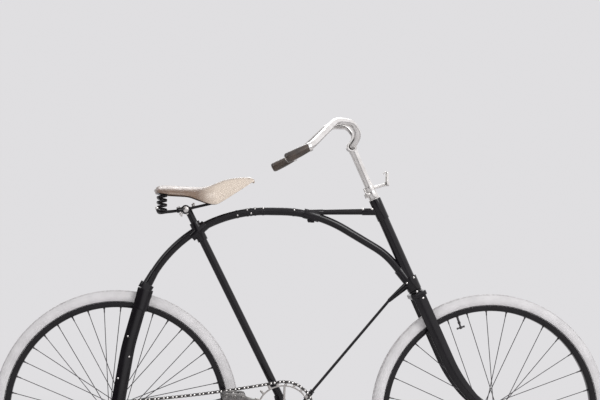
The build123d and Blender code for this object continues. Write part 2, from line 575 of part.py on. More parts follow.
for wheel in WHEELS:
    with BuildPart() as tyre:
        ring_about(wheel.axle, both_halves(TYRE_SECTION))
    keep(tyre, f"{wheel.name}_tyre")

    with BuildPart() as rim:
        ring_about(wheel.axle, both_halves(RIM_SECTION))
    keep(rim, f"{wheel.name}_rim")

    with BuildPart() as hub:
        bar(at(wheel.axle, -wheel.hub_end), at(wheel.axle, wheel.hub_end), HUB_RADIUS)
        for side, sign in SIDES:
            flange = at(wheel.axle, sign * wheel.flange_y)
            across = Vector(0, FLANGE_THICKNESS / 2, 0)
            bar(flange - across, flange + across, FLANGE_RADIUS)
        drill(at(wheel.axle, -PAST), at(wheel.axle, PAST), AXLE_RADIUS + RUNNING_GAP)
    keep(hub, f"{wheel.name}_hub")

    spoke_swing = degrees(acos(SPOKE_CIRCLE / SPOKE_RIM))
    spoke_planes = []
    for number in range(wheel.spokes):
        flange_sign = 1 if number % 2 else -1
        lead = -1 if (number + 1) // 2 % 2 else 1
        rim_angle = wheel.first_spoke + 360.0 / wheel.spokes * number
        hub_y = flange_sign * (wheel.flange_y + lead * SPOKE_OFFSET)
        hub_end = at(turned(wheel.axle, SPOKE_CIRCLE, rim_angle - lead * spoke_swing), hub_y)
        rim_end = at(turned(wheel.axle, SPOKE_RIM, rim_angle))
        spoke_planes.append(Plane(origin=hub_end, z_dir=rim_end - hub_end))
    spoke_length = sqrt(SPOKE_RIM**2 - SPOKE_CIRCLE**2 + wheel.flange_y**2)
    with BuildPart() as spokes:
        with BuildSketch(*spoke_planes):
            RegularPolygon(SPOKE_RADIUS, 6)
        extrude(amount=spoke_length)
    keep(spokes, f"{wheel.name}_spokes")

# Chain drive on the right: toothed wheels that turn between the chain's two side bands
# half outline of a tooth: (share of the pitch from its middle, height over the pitch line; -1 is the root)
TOOTH_OUTLINE = ((0.17, -1), (0.126, 0.0), (0.053, 4.2))
CHAINWHEEL_ROOT = 10.0                 # depth of the gaps between teeth, below the pitch line
SPROCKET_ROOT = 8.0
CHAINWHEEL_RING = 80.5                 # inside radius of the chainwheel's thin ring
CHAINWHEEL_ARMS = 5
ARM_WIDTH = 7.0
ARM_START = 17.0                       # the arms start inside the boss, at this radius
BOSS_RADIUS = 20.0
HUB_SLEEVE = (17.0, -45.0, 18.0)       # radius, inner face and length of the sleeve on the axle
PLATE_THICKNESS = 5.0
CHAINWHEEL_RADIUS = CHAIN_PITCH / 2 / sin(radians(180.0 / CHAINWHEEL_TEETH))
SPROCKET_RADIUS = CHAIN_PITCH / 2 / sin(radians(180.0 / SPROCKET_TEETH))


def toothed_outline(centre, teeth, radius, root):
    """The points of a toothed wheel about its centre: tall narrow teeth, one for each pitch."""
    rising = [(-share, height) for share, height in TOOTH_OUTLINE]
    points = []
    for number in range(teeth):
        for share, height in [*rising, *reversed(TOOTH_OUTLINE)]:
            over = -root if height == -1 else height
            points.append(turned(centre, radius + over, 360.0 * (number + share) / teeth))
    return points


with BuildPart() as chainwheel:
    with BuildSketch(side_plane(CHAIN_LINE + PLATE_THICKNESS / 2)):
        with BuildLine():
            teeth = toothed_outline(BOTTOM_BRACKET, CHAINWHEEL_TEETH, CHAINWHEEL_RADIUS, CHAINWHEEL_ROOT)
            Polyline(*teeth, close=True)
        make_face()
        with Locations(BOTTOM_BRACKET):
            Circle(CHAINWHEEL_RING, mode=Mode.SUBTRACT)
            Circle(BOSS_RADIUS)
            arm_middle = (ARM_START + CHAINWHEEL_RING) / 2
            with PolarLocations(arm_middle, CHAINWHEEL_ARMS, start_angle=CRANK_ANGLE):
                Rectangle(CHAINWHEEL_RING - ARM_START + 2, ARM_WIDTH)
            Circle(CRANK_AXLE_RADIUS, mode=Mode.SUBTRACT)
    extrude(amount=PLATE_THICKNESS)
    with BuildSketch(side_plane(HUB_SLEEVE[1])):
        with Locations(BOTTOM_BRACKET):
            Circle(HUB_SLEEVE[0])
            Circle(CRANK_AXLE_RADIUS, mode=Mode.SUBTRACT)
    extrude(amount=HUB_SLEEVE[2])
keep(chainwheel, "chainwheel")

with BuildPart() as rear_sprocket:
    with BuildSketch(side_plane(CHAIN_LINE + PLATE_THICKNESS / 2)):
        with BuildLine():
            teeth = toothed_outline(REAR_AXLE, SPROCKET_TEETH, SPROCKET_RADIUS, SPROCKET_ROOT)
            Polyline(*teeth, close=True)
        make_face()
        with Locations(REAR_AXLE):
            Circle(HUB_RADIUS, mode=Mode.SUBTRACT)
    extrude(amount=PLATE_THICKNESS)
keep(rear_sprocket, "rear_sprocket")

BAND_HALF_HEIGHT = 5.5
BAND_THICKNESS = 2.2
BAND_INNER_Y = CHAIN_LINE + 5.7
BAND_OUTER_Y = CHAIN_LINE - 3.5
BLOCK_LENGTH = 15.0
BLOCK_HEIGHT = 8.8
CHAIN_SAG = 8.0
CHAIN_RUN = (BOTTOM_BRACKET[0] - REAR_AXLE[0], BOTTOM_BRACKET[1] - REAR_AXLE[1])
CENTRE_DISTANCE = sqrt(CHAIN_RUN[0] ** 2 + CHAIN_RUN[1] ** 2)
CENTRE_ANGLE = degrees(atan2(CHAIN_RUN[1], CHAIN_RUN[0]))
NORMAL_SWING = degrees(acos((SPROCKET_RADIUS - CHAINWHEEL_RADIUS) / CENTRE_DISTANCE))


def chain_line(offset, sign):
    """The ends of the upper (1) or lower (-1) run, set out from the pitch line: sprocket, chainwheel."""
    angle = CENTRE_ANGLE + sign * NORMAL_SWING
    return turned(REAR_AXLE, SPROCKET_RADIUS + offset, angle), turned(
        BOTTOM_BRACKET, CHAINWHEEL_RADIUS + offset, angle
    )


def chain_loop(offset):
    """The chain's closed line, set out from its pitch line; the upper run sags."""
    upper_rear, upper_front = chain_line(offset, 1)
    lower_rear, lower_front = chain_line(offset, -1)
    upper_middle = ((upper_rear[0] + upper_front[0]) / 2, (upper_rear[1] + upper_front[1]) / 2 - CHAIN_SAG)
    with BuildLine() as loop:
        ThreePointArc(upper_rear, upper_middle, upper_front)
        ThreePointArc(
            upper_front, turned(BOTTOM_BRACKET, CHAINWHEEL_RADIUS + offset, CENTRE_ANGLE), lower_front
        )
        Line(lower_front, lower_rear)
        ThreePointArc(
            lower_rear, turned(REAR_AXLE, SPROCKET_RADIUS + offset, CENTRE_ANGLE + 180), upper_rear
        )
    return loop.line


FIRST_BLOCK = 2                        # pitches from the sprocket's end of a run to its first block
LAST_BLOCK = 15

with BuildPart() as chain:
    for band_y in (BAND_INNER_Y, BAND_OUTER_Y):
        with BuildSketch(side_plane(band_y)):
            make_face(chain_loop(BAND_HALF_HEIGHT))
            make_face(chain_loop(-BAND_HALF_HEIGHT), mode=Mode.SUBTRACT)
        extrude(amount=BAND_THICKNESS)
    for sign, sag in ((1, CHAIN_SAG), (-1, 0.0)):
        rear, front = chain_line(0.0, sign)
        run = sqrt((front[0] - rear[0]) ** 2 + (front[1] - rear[1]) ** 2)
        slope = degrees(atan2(front[1] - rear[1], front[0] - rear[0]))
        with BuildSketch(side_plane(BAND_INNER_Y)):
            for number in range(FIRST_BLOCK, LAST_BLOCK):
                along = number * CHAIN_PITCH
                drop = 4 * sag * along / run * (1 - along / run)
                place = turned(rear, along, slope)
                with Locations((place[0], place[1] - drop)):
                    Rectangle(BLOCK_LENGTH, BLOCK_HEIGHT, rotation=slope)
        extrude(amount=BAND_INNER_Y - BAND_OUTER_Y + BAND_THICKNESS)
keep(chain, "chain")

# Cranks and pedals
CRANK_FACE = 63.5                      # inner face of a crank, from the middle
CRANK_THICKNESS = 12.0
SPINDLE_RADIUS = 4.5
CRANK_AXLE_END = 86.0
CRANK_EYES = (16.0, 12.0)              # radii of a crank's ends, at the axle and at the pedal
CRANK_BOSS = (17.0, 19.0)              # radius and length
PEDAL_INNER = 84.0
PEDAL_OUTER = 172.0
PEDAL_BARREL_RADIUS = 9.0
PEDAL_PLATE = (74.0, 24.0, 4.0)        # long, high, thick
PEDAL_PLATE_FACES = (PEDAL_INNER + 2, PEDAL_OUTER - 6)
RUBBER_REACH = 25.0                    # from the spindle, each way
RUBBER_SIZE = (19.0, 74.0, 22.0)

with BuildPart() as crank_axle:
    bar(at(BOTTOM_BRACKET, -CRANK_AXLE_END), at(BOTTOM_BRACKET, CRANK_AXLE_END), CRANK_AXLE_RADIUS)
keep(crank_axle, "crank_axle")

for side, sign in SIDES:
    angle = CRANK_ANGLE if side == "right" else CRANK_ANGLE + 180.0
    pedal_spot = turned(BOTTOM_BRACKET, CRANK_LENGTH, angle)
    with BuildPart() as crank:
        with BuildSketch(side_plane(sign * CRANK_FACE)) as arm_outline:
            for spot, radius in zip((BOTTOM_BRACKET, pedal_spot), CRANK_EYES):
                with Locations(spot):
                    Circle(radius)
            make_hull()
        extrude(amount=-sign * CRANK_THICKNESS)
        boss_end = at(BOTTOM_BRACKET, sign * (CRANK_FACE + CRANK_BOSS[1]))
        bar(at(BOTTOM_BRACKET, sign * CRANK_FACE), boss_end, CRANK_BOSS[0])
        bar(at(pedal_spot, sign * CRANK_FACE), at(pedal_spot, sign * (PEDAL_OUTER - 4)), SPINDLE_RADIUS)
        drill(at(BOTTOM_BRACKET, 0), at(BOTTOM_BRACKET, sign * PAST), CRANK_AXLE_RADIUS)
    keep(crank, f"crank_{side}")

    with BuildPart() as pedal:
        bar(at(pedal_spot, sign * PEDAL_INNER), at(pedal_spot, sign * PEDAL_OUTER), PEDAL_BARREL_RADIUS)
        for face in PEDAL_PLATE_FACES:
            with BuildSketch(side_plane(sign * face)):
                with Locations(pedal_spot):
                    SlotOverall(PEDAL_PLATE[0], PEDAL_PLATE[1])
            extrude(amount=-sign * PEDAL_PLATE[2])
        drill(at(pedal_spot), at(pedal_spot, sign * PEDAL_OUTER), SPINDLE_RADIUS + RUNNING_GAP)
    keep(pedal, f"pedal_{side}")

    with BuildPart() as pedal_rubber:
        pedal_middle = sign * (PEDAL_INNER + PEDAL_OUTER) / 2
        for reach in (-RUBBER_REACH, RUBBER_REACH):
            with Locations(at((pedal_spot[0] + reach, pedal_spot[1]), pedal_middle)):
                Box(*RUBBER_SIZE)
    keep(pedal_rubber, f"pedal_rubber_{side}")
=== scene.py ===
import logging
from dataclasses import dataclass
from enum import Enum
from math import acos, asin, atan2, cos, degrees, hypot, pi, radians, sin, sqrt, tan, tau
from typing import Callable, Iterable, Sequence

import bmesh
import bpy
from mathutils import Matrix, Vector


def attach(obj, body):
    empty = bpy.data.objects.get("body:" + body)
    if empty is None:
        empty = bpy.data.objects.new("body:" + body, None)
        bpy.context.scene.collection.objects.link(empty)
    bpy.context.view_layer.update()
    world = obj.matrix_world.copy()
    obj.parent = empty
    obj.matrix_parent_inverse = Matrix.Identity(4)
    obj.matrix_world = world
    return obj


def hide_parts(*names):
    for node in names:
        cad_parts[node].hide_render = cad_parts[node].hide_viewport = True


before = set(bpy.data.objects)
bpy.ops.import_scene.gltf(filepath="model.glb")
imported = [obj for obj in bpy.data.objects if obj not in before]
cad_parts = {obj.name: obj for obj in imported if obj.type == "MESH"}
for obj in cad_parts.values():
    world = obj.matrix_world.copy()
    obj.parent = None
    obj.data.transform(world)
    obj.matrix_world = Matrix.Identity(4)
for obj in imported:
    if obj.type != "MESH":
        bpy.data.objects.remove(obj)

LOG = logging.getLogger("bicycle")
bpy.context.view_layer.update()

Spot = tuple[float, float]
SEAT: Spot = (180.0, 1090.0)
REAR_AXLE: Spot = (0.0, 381.0)
FRONT_AXLE: Spot = (1182.6, 381.0)
BOTTOM_BRACKET: Spot = (518.6, 388.0)
STEERING_FOOT: Spot = (942.1, 761.3)
STEERING_SLOPE = 0.465
HEAD_HIGH = 1059.0
STEM_FOOT = 1063.0
STEM_HIGH = 1224.0
CHAIN_LINE = -52.0
GROUND = -1.090
ACROSS = Vector((0.0, 1.0, 0.0))
UP = Vector((0.0, 0.0, 1.0))


class Side(Enum):
    """The two sides of the bicycle, as the sign of y."""

    RIGHT = -1
    LEFT = 1

    @property
    def word(self) -> str:
        """The side's name as the nodes have it."""
        return self.name.lower()


def at(spot: Spot, y: float = 0.0) -> Vector:
    """A point of the part's frame.

    Args:
        spot: Millimetres forward of the rear axle and above the ground.
        y: Millimetres to the rider's left.

    Returns:
        The point in metres.
    """
    return Vector(((spot[0] - SEAT[0]) / 1000, y / 1000, (spot[1] - SEAT[1]) / 1000))


def turned(centre: Spot, radius: float, angle: float) -> Spot:
    """A spot at a radius and an angle in degrees from a centre, in the side view."""
    return (centre[0] + radius * cos(radians(angle)), centre[1] + radius * sin(radians(angle)))


def steering_spot(height: float) -> Spot:
    """The spot of the steering axis at a height above the ground, in millimetres."""
    return (STEERING_FOOT[0] - STEERING_SLOPE * (height - STEERING_FOOT[1]), height)


STEERING_UP = (at(steering_spot(HEAD_HIGH)) - at(STEERING_FOOT)).normalized()


# Modelling bench


def rest() -> None:
    """Leave edit mode and deselect everything."""
    if bpy.context.mode != "OBJECT":
        bpy.ops.object.mode_set(mode="OBJECT")
    bpy.ops.object.select_all(action="DESELECT")


def pick(piece: bpy.types.Object) -> None:
    """Select one piece alone and make it the active one."""
    rest()
    piece.select_set(True)
    bpy.context.view_layer.objects.active = piece


def edit(piece: bpy.types.Object) -> None:
    """Open one piece in edit mode with nothing else selected."""
    pick(piece)
    bpy.ops.object.mode_set(mode="EDIT")


def settle(piece: bpy.types.Object) -> bpy.types.Object:
    """Write a piece's place into its mesh, so that its object sits at the origin."""
    pick(piece)
    bpy.ops.object.transform_apply(location=True, rotation=True, scale=True)
    return piece


def heal(piece: bpy.types.Object, gap: float = 1e-5) -> bpy.types.Object:
    """Merge doubled points and turn every face outwards."""
    edit(piece)
    bpy.ops.mesh.select_all(action="SELECT")
    bpy.ops.mesh.remove_doubles(threshold=gap)
    bpy.ops.mesh.normals_make_consistent(inside=False)
    rest()
    return piece


def facing(direction: Vector) -> tuple[float, float, float]:
    """The rotation that turns a primitive's own Z to a direction."""
    return tuple(direction.to_track_quat("Z", "Y").to_euler())


def choose(piece: bpy.types.Object, wanted: Callable[[bmesh.types.BMFace], bool]) -> None:
    """Select the faces of the piece in edit mode that a test accepts.

    Args:
        piece: The piece that is open in edit mode.
        wanted: The test on a face, by its place or normal.
    """
    bpy.ops.mesh.select_mode(type="FACE")
    bpy.ops.mesh.select_all(action="DESELECT")
    mesh = bmesh.from_edit_mesh(piece.data)
    for face in mesh.faces:
        if wanted(face):
            face.select_set(True)
    mesh.select_flush_mode()
    bmesh.update_edit_mesh(piece.data)


def finish_with(piece: bpy.types.Object, kind: str, **values: object) -> bpy.types.Object:
    """Add one modifier to a piece, set it and apply it."""
    pick(piece)
    modifier = piece.modifiers.new(kind.title(), kind)
    for key, value in values.items():
        setattr(modifier, key, value)
    bpy.ops.object.modifier_apply(modifier=modifier.name)
    return piece


def round_edges(piece: bpy.types.Object, width: float, segments: int = 2, angle: float = 35.0) -> bpy.types.Object:
    """Round a piece's sharp edges with an applied bevel."""
    return finish_with(
        piece, "BEVEL", width=width, segments=segments, limit_method="ANGLE",
        angle_limit=radians(angle), harden_normals=False,
    )


def rod(
    start: Vector, end: Vector, radius: float, end_radius: float | None = None,
    sides: int = 24, rounding: float = 0.0,
) -> bpy.types.Object:
    """Model a round bar between two points.

    Args:
        start: The first end.
        end: The other end.
        radius: The radius in millimetres at the start.
        end_radius: The radius at the end, where it tapers.
        sides: How many faces go round it.
        rounding: The bevel of its two rims in millimetres.

    Returns:
        The bar, with its place in its mesh.
    """
    rest()
    along = end - start
    bpy.ops.mesh.primitive_cone_add(
        vertices=sides, radius1=radius / 1000, radius2=(radius if end_radius is None else end_radius) / 1000,
        depth=along.length, location=(start + end) / 2, rotation=facing(along),
    )
    piece = settle(bpy.context.object)
    if rounding:
        round_edges(piece, rounding / 1000, 3, 50.0)
    return piece


def block(
    centre: Vector, size: tuple[float, float, float], turn: float = 0.0, rounding: float = 1.0
) -> bpy.types.Object:
    """Model a rounded block, turned about the across axis.

    Args:
        centre: Its middle.
        size: Its length, width and height in millimetres.
        turn: How far its length rises forward, in degrees.
        rounding: The bevel of its edges in millimetres.

    Returns:
        The block, with its place in its mesh.
    """
    rest()
    bpy.ops.mesh.primitive_cube_add(size=1.0, location=centre, rotation=(0.0, -radians(turn), 0.0))
    piece = bpy.context.object
    piece.scale = [part / 1000 for part in size]
    settle(piece)
    return round_edges(piece, rounding / 1000, 3)


def dome(base: Vector, out: Vector, radius: float, height: float, sides: int = 16) -> bpy.types.Object:
    """Model a rivet's or bolt's domed head that stands on a surface."""
    rest()
    bpy.ops.mesh.primitive_uv_sphere_add(
        segments=sides, ring_count=8, radius=1.0, location=base, rotation=facing(out)
    )
    piece = bpy.context.object
    piece.scale = (radius / 1000, radius / 1000, height / 1000)
    return settle(piece)


def nut(base: Vector, out: Vector, radius: float, height: float) -> bpy.types.Object:
    """Model a six-sided nut with chamfered corners that stands on a surface."""
    piece = rod(base, base + out.normalized() * height / 1000, radius, sides=6)
    return round_edges(piece, 0.0008, 2, 25.0)


def trace(points: Sequence[Vector]) -> bpy.types.Object:
    """Draw an open line of edges by extruding one point from place to place.

    Args:
        points: The places that the line passes, in order.

    Returns:
        The line as a piece that is left open in edit mode, all selected.
    """
    rest()
    bpy.ops.mesh.primitive_plane_add(size=0.001, location=points[0])
    piece = settle(bpy.context.object)
    edit(piece)
    bpy.ops.mesh.select_mode(type="VERT")
    bpy.ops.mesh.select_all(action="SELECT")
    bpy.ops.mesh.merge(type="CENTER")
    here = points[0]
    for point in points[1:]:
        bpy.ops.mesh.extrude_vertices_move(TRANSFORM_OT_translate={"value": tuple(point - here)})
        here = point
    bpy.ops.mesh.select_all(action="SELECT")
    return piece


def lathe(
    centre: Vector, axis: Vector, profile: Iterable[tuple[float, float]], steps: int = 48, closed: bool = False
) -> bpy.types.Object:
    """Turn a profile about an axis.

    Args:
        centre: The point of the axis that the profile's lengths start from.
        axis: The axis to turn about.
        profile: Pairs of length along the axis and radius, in millimetres.
        steps: How many steps a full turn has.
        closed: Whether the profile ends where it starts, as a ring's does.

    Returns:
        The turned piece with its faces outwards.
    """
    along = axis.normalized()
    outwards = along.orthogonal().normalized()
    points = [centre + along * length / 1000 + outwards * radius / 1000 for length, radius in profile]
    piece = trace([*points, points[0]] if closed else points)
    bpy.ops.mesh.remove_doubles(threshold=1e-6)
    bpy.ops.mesh.select_all(action="SELECT")
    bpy.ops.mesh.spin(steps=steps, angle=tau, center=centre, axis=along)
    rest()
    return heal(piece)


def plate(outline: Sequence[Spot], y: float, thickness: float, rounding: float = 0.6) -> bpy.types.Object:
    """Cut a flat plate that stands upright, from its outline in the side view.

    Args:
        outline: The outline's corners, in order.
        y: The plate's right-hand face.
        thickness: How far it reaches to the left.
        rounding: The bevel of its edges in millimetres.

    Returns:
        The plate.
    """
    piece = trace([at(corner, y) for corner in outline])
    bpy.ops.mesh.edge_face_add()
    bpy.ops.mesh.extrude_region_move(TRANSFORM_OT_translate={"value": (0.0, thickness / 1000, 0.0)})
    heal(piece, 1e-6)
    return round_edges(piece, rounding / 1000, 2) if rounding else piece


def wire(points: Sequence[Vector], radius: float, order: int = 3, sides: int = 3) -> bpy.types.Object:
    """Bend a round wire along a smooth route and make it a mesh."""
    rest()
    bpy.ops.curve.primitive_nurbs_path_add(radius=1.0, location=(0.0, 0.0, 0.0))
    route = bpy.context.object
    curve = route.data
    curve.splines.clear()
    spline = curve.splines.new("NURBS")
    spline.points.add(len(points) - 1)
    for place, point in zip(spline.points, points):
        place.co = (*point, 1.0)
    spline.order_u = order
    spline.use_endpoint_u = True
    spline.resolution_u = 8
    curve.bevel_depth = radius / 1000
    curve.bevel_resolution = sides
    curve.use_fill_caps = True
    bpy.ops.object.convert(target="MESH")
    return heal(bpy.context.object, 1e-6)


def rounded(corners: Sequence[Vector], radii: Sequence[float], steps: int = 12) -> list[Vector]:
    """Round the corners of a line with arcs.

    Args:
        corners: The line's two ends and the corners between them.
        radii: The radius of each corner between the ends, in millimetres.
        steps: How many steps each arc has.

    Returns:
        The rounded line's points.
    """
    line = [corners[0]]
    for before, corner, after, radius in zip(corners, corners[1:], corners[2:], radii):
        back, ahead = (before - corner).normalized(), (after - corner).normalized()
        half = back.angle(ahead) / 2
        reach = radius / 1000 / tan(half)
        centre = corner + (back + ahead).normalized() * radius / 1000 / sin(half)
        first, last = corner + back * reach - centre, corner + ahead * reach - centre
        sweep = first.angle(last)
        for step in range(steps + 1):
            share = step / steps
            line.append(centre + (first * sin((1 - share) * sweep) + last * sin(share * sweep)) / sin(sweep))
    return [*line, corners[-1]]


def oval_bar(line: Sequence[Vector], halves: Sequence[tuple[float, float]], sides: int = 36) -> bpy.types.Object:
    """Wrap a grid round a line as a bar with an oval section.

    Args:
        line: The bar's middle line.
        halves: For each of its points, half the section's width across the bicycle and half
            its height, in millimetres.
        sides: How many faces go round it.

    Returns:
        The bar with closed ends.
    """
    rest()
    last = len(line) - 1
    bpy.ops.mesh.primitive_grid_add(x_subdivisions=last, y_subdivisions=sides, size=2.0, location=(0, 0, 0))
    piece = bpy.context.object
    for vertex in piece.data.vertices:
        number = round((vertex.co.x + 1.0) / 2.0 * last)
        ahead = line[min(number + 1, last)] - line[max(number - 1, 0)]
        across, high = (part / 1000 for part in halves[number])
        turn = vertex.co.y * pi
        vertex.co = line[number] + ACROSS * across * cos(turn) + ahead.cross(ACROSS).normalized() * high * sin(turn)
    heal(piece, 1e-6)
    edit(piece)
    bpy.ops.mesh.select_mode(type="EDGE")
    bpy.ops.mesh.select_all(action="DESELECT")
    bpy.ops.mesh.select_non_manifold()
    bpy.ops.mesh.fill_holes(sides=0)
    return heal(piece, 1e-6)


def copies(pattern: bpy.types.Object, moves: Iterable[Matrix]) -> bpy.types.Object:
    """Join copies of one piece, each with its own mesh, moved to its own place.

    Args:
        pattern: The piece to copy; it is used up.
        moves: One matrix for each copy.

    Returns:
        All the copies as one piece.
    """
    rest()
    made = []
    for move in moves:
        twin = bpy.data.objects.new(pattern.name, pattern.data.copy())
        bpy.context.collection.objects.link(twin)
        twin.data.transform(move)
        made.append(twin)
    bpy.data.objects.remove(pattern)
    return together(made)


def together(parts: Sequence[bpy.types.Object]) -> bpy.types.Object:
    """Join several pieces into one."""
    rest()
    for part in parts:
        part.select_set(True)
    bpy.context.view_layer.objects.active = parts[0]
    if len(parts) > 1:
        bpy.ops.object.join()
    rest()
    return parts[0]


def dressed_copy(node: str, rounding: float, gap: float = 2e-5) -> bpy.types.Object:
    """Copy a CAD node's mesh, merge it and round its sharp edges.

    Args:
        node: The CAD node.
        rounding: The bevel of its edges in millimetres.
        gap: Points nearer than this are merged, in metres.

    Returns:
        The copy, which doesn't yet replace the node.
    """
    rest()
    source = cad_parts[node]
    piece = bpy.data.objects.new(node, source.data.copy())
    bpy.context.collection.objects.link(piece)
    piece.data.materials.clear()
    heal(piece, gap)
    edit(piece)
    bpy.ops.mesh.select_all(action="SELECT")
    bpy.ops.mesh.dissolve_limited(angle_limit=radians(0.6))
    rest()
    return round_edges(piece, rounding / 1000, 3)


# Shader groups that the finishes share


def new_group(name: str, inputs: dict[str, float], outputs: Sequence[str]) -> bpy.types.NodeTree:
    """Make an empty shader node group.

    Args:
        name: The group's name.
        inputs: Its number inputs and their starting values.
        outputs: Its number outputs.

    Returns:
        The group, with its input and output nodes in it.
    """
    tree = bpy.data.node_groups.new(name, "ShaderNodeTree")
    for label, value in inputs.items():
        entry = tree.interface.new_socket(name=label, in_out="INPUT", socket_type="NodeSocketFloat")
        entry.default_value = value
    for label in outputs:
        tree.interface.new_socket(name=label, in_out="OUTPUT", socket_type="NodeSocketFloat")
    tree.nodes.new("NodeGroupInput")
    tree.nodes.new("NodeGroupOutput")
    return tree


class Sheet:
    """The node sheet of a material or a group while it is laid out."""

    def __init__(self, tree: bpy.types.NodeTree) -> None:
        """Keep the tree that the nodes go into."""
        self.tree = tree

    def node(self, kind: str, **values: object) -> bpy.types.Node:
        """Add a node.

        Args:
            kind: The node's type, without its ShaderNode beginning.
            values: Properties, or inputs by name with _ for a space.

        Returns:
            The node.
        """
        made = self.tree.nodes.new("ShaderNode" + kind)
        for key, value in values.items():
            if hasattr(made, key):
                setattr(made, key, value)
            else:
                made.inputs[key.replace("_", " ")].default_value = value
        return made

    def wire(self, source: bpy.types.NodeSocket, target: bpy.types.NodeSocket) -> None:
        """Join an output to an input."""
        self.tree.links.new(source, target)

    def sums(
        self, operation: str, first: object, second: object = None, clamp: bool = False
    ) -> bpy.types.NodeSocket:
        """Add a Math node on sockets or numbers and return its output."""
        made = self.node("Math", operation=operation, use_clamp=clamp)
        for place, value in enumerate((first, second)):
            if isinstance(value, bpy.types.NodeSocket):
                self.wire(value, made.inputs[place])
            elif value is not None:
                made.inputs[place].default_value = value
        return made.outputs[0]

    def spread(
        self, source: bpy.types.NodeSocket, low: float, high: float, to_low: float, to_high: float
    ) -> bpy.types.NodeSocket:
        """Stretch a value's range smoothly to another and return the output."""
        made = self.node("MapRange", interpolation_type="SMOOTHSTEP")
        for place, value in enumerate((low, high, to_low, to_high), start=1):
            made.inputs[place].default_value = value
        self.wire(source, made.inputs[0])
        return made.outputs[0]

    def blend(self, mask: bpy.types.NodeSocket, first: object, second: object) -> bpy.types.NodeSocket:
        """Mix two colours by a mask and return the output."""
        made = self.node("Mix", data_type="RGBA")
        self.wire(mask, made.inputs[0])
        for place, value in ((6, first), (7, second)):
            if isinstance(value, bpy.types.NodeSocket):
                self.wire(value, made.inputs[place])
            else:
                made.inputs[place].default_value = (*value, 1.0)
        return made.outputs[2]

    def noise(
        self, where: bpy.types.NodeSocket, scale: float, detail: float = 4.0, roughness: float = 0.55
    ) -> bpy.types.NodeSocket:
        """Add a noise pattern on some coordinates and return its value."""
        made = self.node("TexNoise", Scale=scale, Detail=detail, Roughness=roughness)
        self.wire(where, made.inputs["Vector"])
        return made.outputs["Fac"]


def worn_edges() -> bpy.types.NodeTree:
    """Build the group that finds a piece's outer edges and breaks them up into worn places."""
    tree = new_group("worn_edges", {"Width": 0.001, "Amount": 0.5}, ["Mask"])
    sheet = Sheet(tree)
    values = tree.nodes["Group Input"].outputs
    place = sheet.node("TexCoord").outputs["Object"]
    soft = sheet.node("Bevel", samples=4)
    sheet.wire(values["Width"], soft.inputs["Radius"])
    geometry = sheet.node("NewGeometry")
    dot = sheet.node("VectorMath", operation="DOT_PRODUCT")
    sheet.wire(soft.outputs["Normal"], dot.inputs[0])
    sheet.wire(geometry.outputs["Normal"], dot.inputs[1])
    edge = sheet.spread(sheet.sums("SUBTRACT", 1.0, dot.outputs["Value"]), 0.01, 0.14, 0.0, 1.0)
    broken = sheet.spread(sheet.noise(place, 90.0, 5.0, 0.65), 0.47, 0.6, 0.0, 1.0)
    mask = sheet.sums("MULTIPLY", sheet.sums("MULTIPLY", edge, broken), values["Amount"], clamp=True)
    sheet.wire(mask, tree.nodes["Group Output"].inputs["Mask"])
    return tree


def settled_dust() -> bpy.types.NodeTree:
    """Build the group that lays dust on upward faces and road dirt near the ground."""
    tree = new_group("settled_dust", {"Amount": 0.3}, ["Mask"])
    sheet = Sheet(tree)
    place = sheet.node("TexCoord").outputs["Object"]
    geometry = sheet.node("NewGeometry")
    parts = sheet.node("SeparateXYZ")
    sheet.wire(geometry.outputs["Normal"], parts.inputs[0])
    height = sheet.node("SeparateXYZ")
    sheet.wire(place, height.inputs[0])
    upward = sheet.spread(parts.outputs["Z"], 0.1, 0.95, 0.25, 1.0)
    low = sheet.spread(height.outputs["Z"], -1.05, -0.55, 1.0, 0.35)
    patches = sheet.spread(sheet.noise(place, 22.0, 6.0, 0.62), 0.36, 0.72, 0.15, 1.0)
    mask = sheet.sums("MULTIPLY", sheet.sums("MULTIPLY", upward, low), patches)
    amount = tree.nodes["Group Input"].outputs["Amount"]
    sheet.wire(sheet.sums("MULTIPLY", mask, amount, clamp=True), tree.nodes["Group Output"].inputs["Mask"])
    return tree


def skin_grain() -> bpy.types.NodeTree:
    """Build the group that gives leather its pebbled grain and its pulled creases."""
    tree = new_group("skin_grain", {"Scale": 700.0, "Creases": 0.4}, ["Height"])
    sheet = Sheet(tree)
    values = tree.nodes["Group Input"].outputs
    place = sheet.node("TexCoord").outputs["Object"]
    cells = sheet.node("TexVoronoi", feature="DISTANCE_TO_EDGE")
    sheet.wire(place, cells.inputs["Vector"])
    sheet.wire(values["Scale"], cells.inputs["Scale"])
    pebble = sheet.spread(cells.outputs["Distance"], 0.0, 0.12, 0.0, 1.0)
    pulled = sheet.node("Mapping", vector_type="POINT")
    pulled.inputs["Scale"].default_value = (14.0, 60.0, 30.0)
    sheet.wire(place, pulled.inputs["Vector"])
    crease = sheet.spread(sheet.noise(pulled.outputs[0], 2.2, 3.0, 0.5), 0.46, 0.5, 1.0, 0.0)
    cut = sheet.sums("MULTIPLY", crease, values["Creases"])
    sheet.wire(sheet.sums("SUBTRACT", pebble, cut), tree.nodes["Group Output"].inputs["Height"])
    return tree


# Finishes

Colour = tuple[float, float, float]
DUST: Colour = (0.36, 0.33, 0.31)


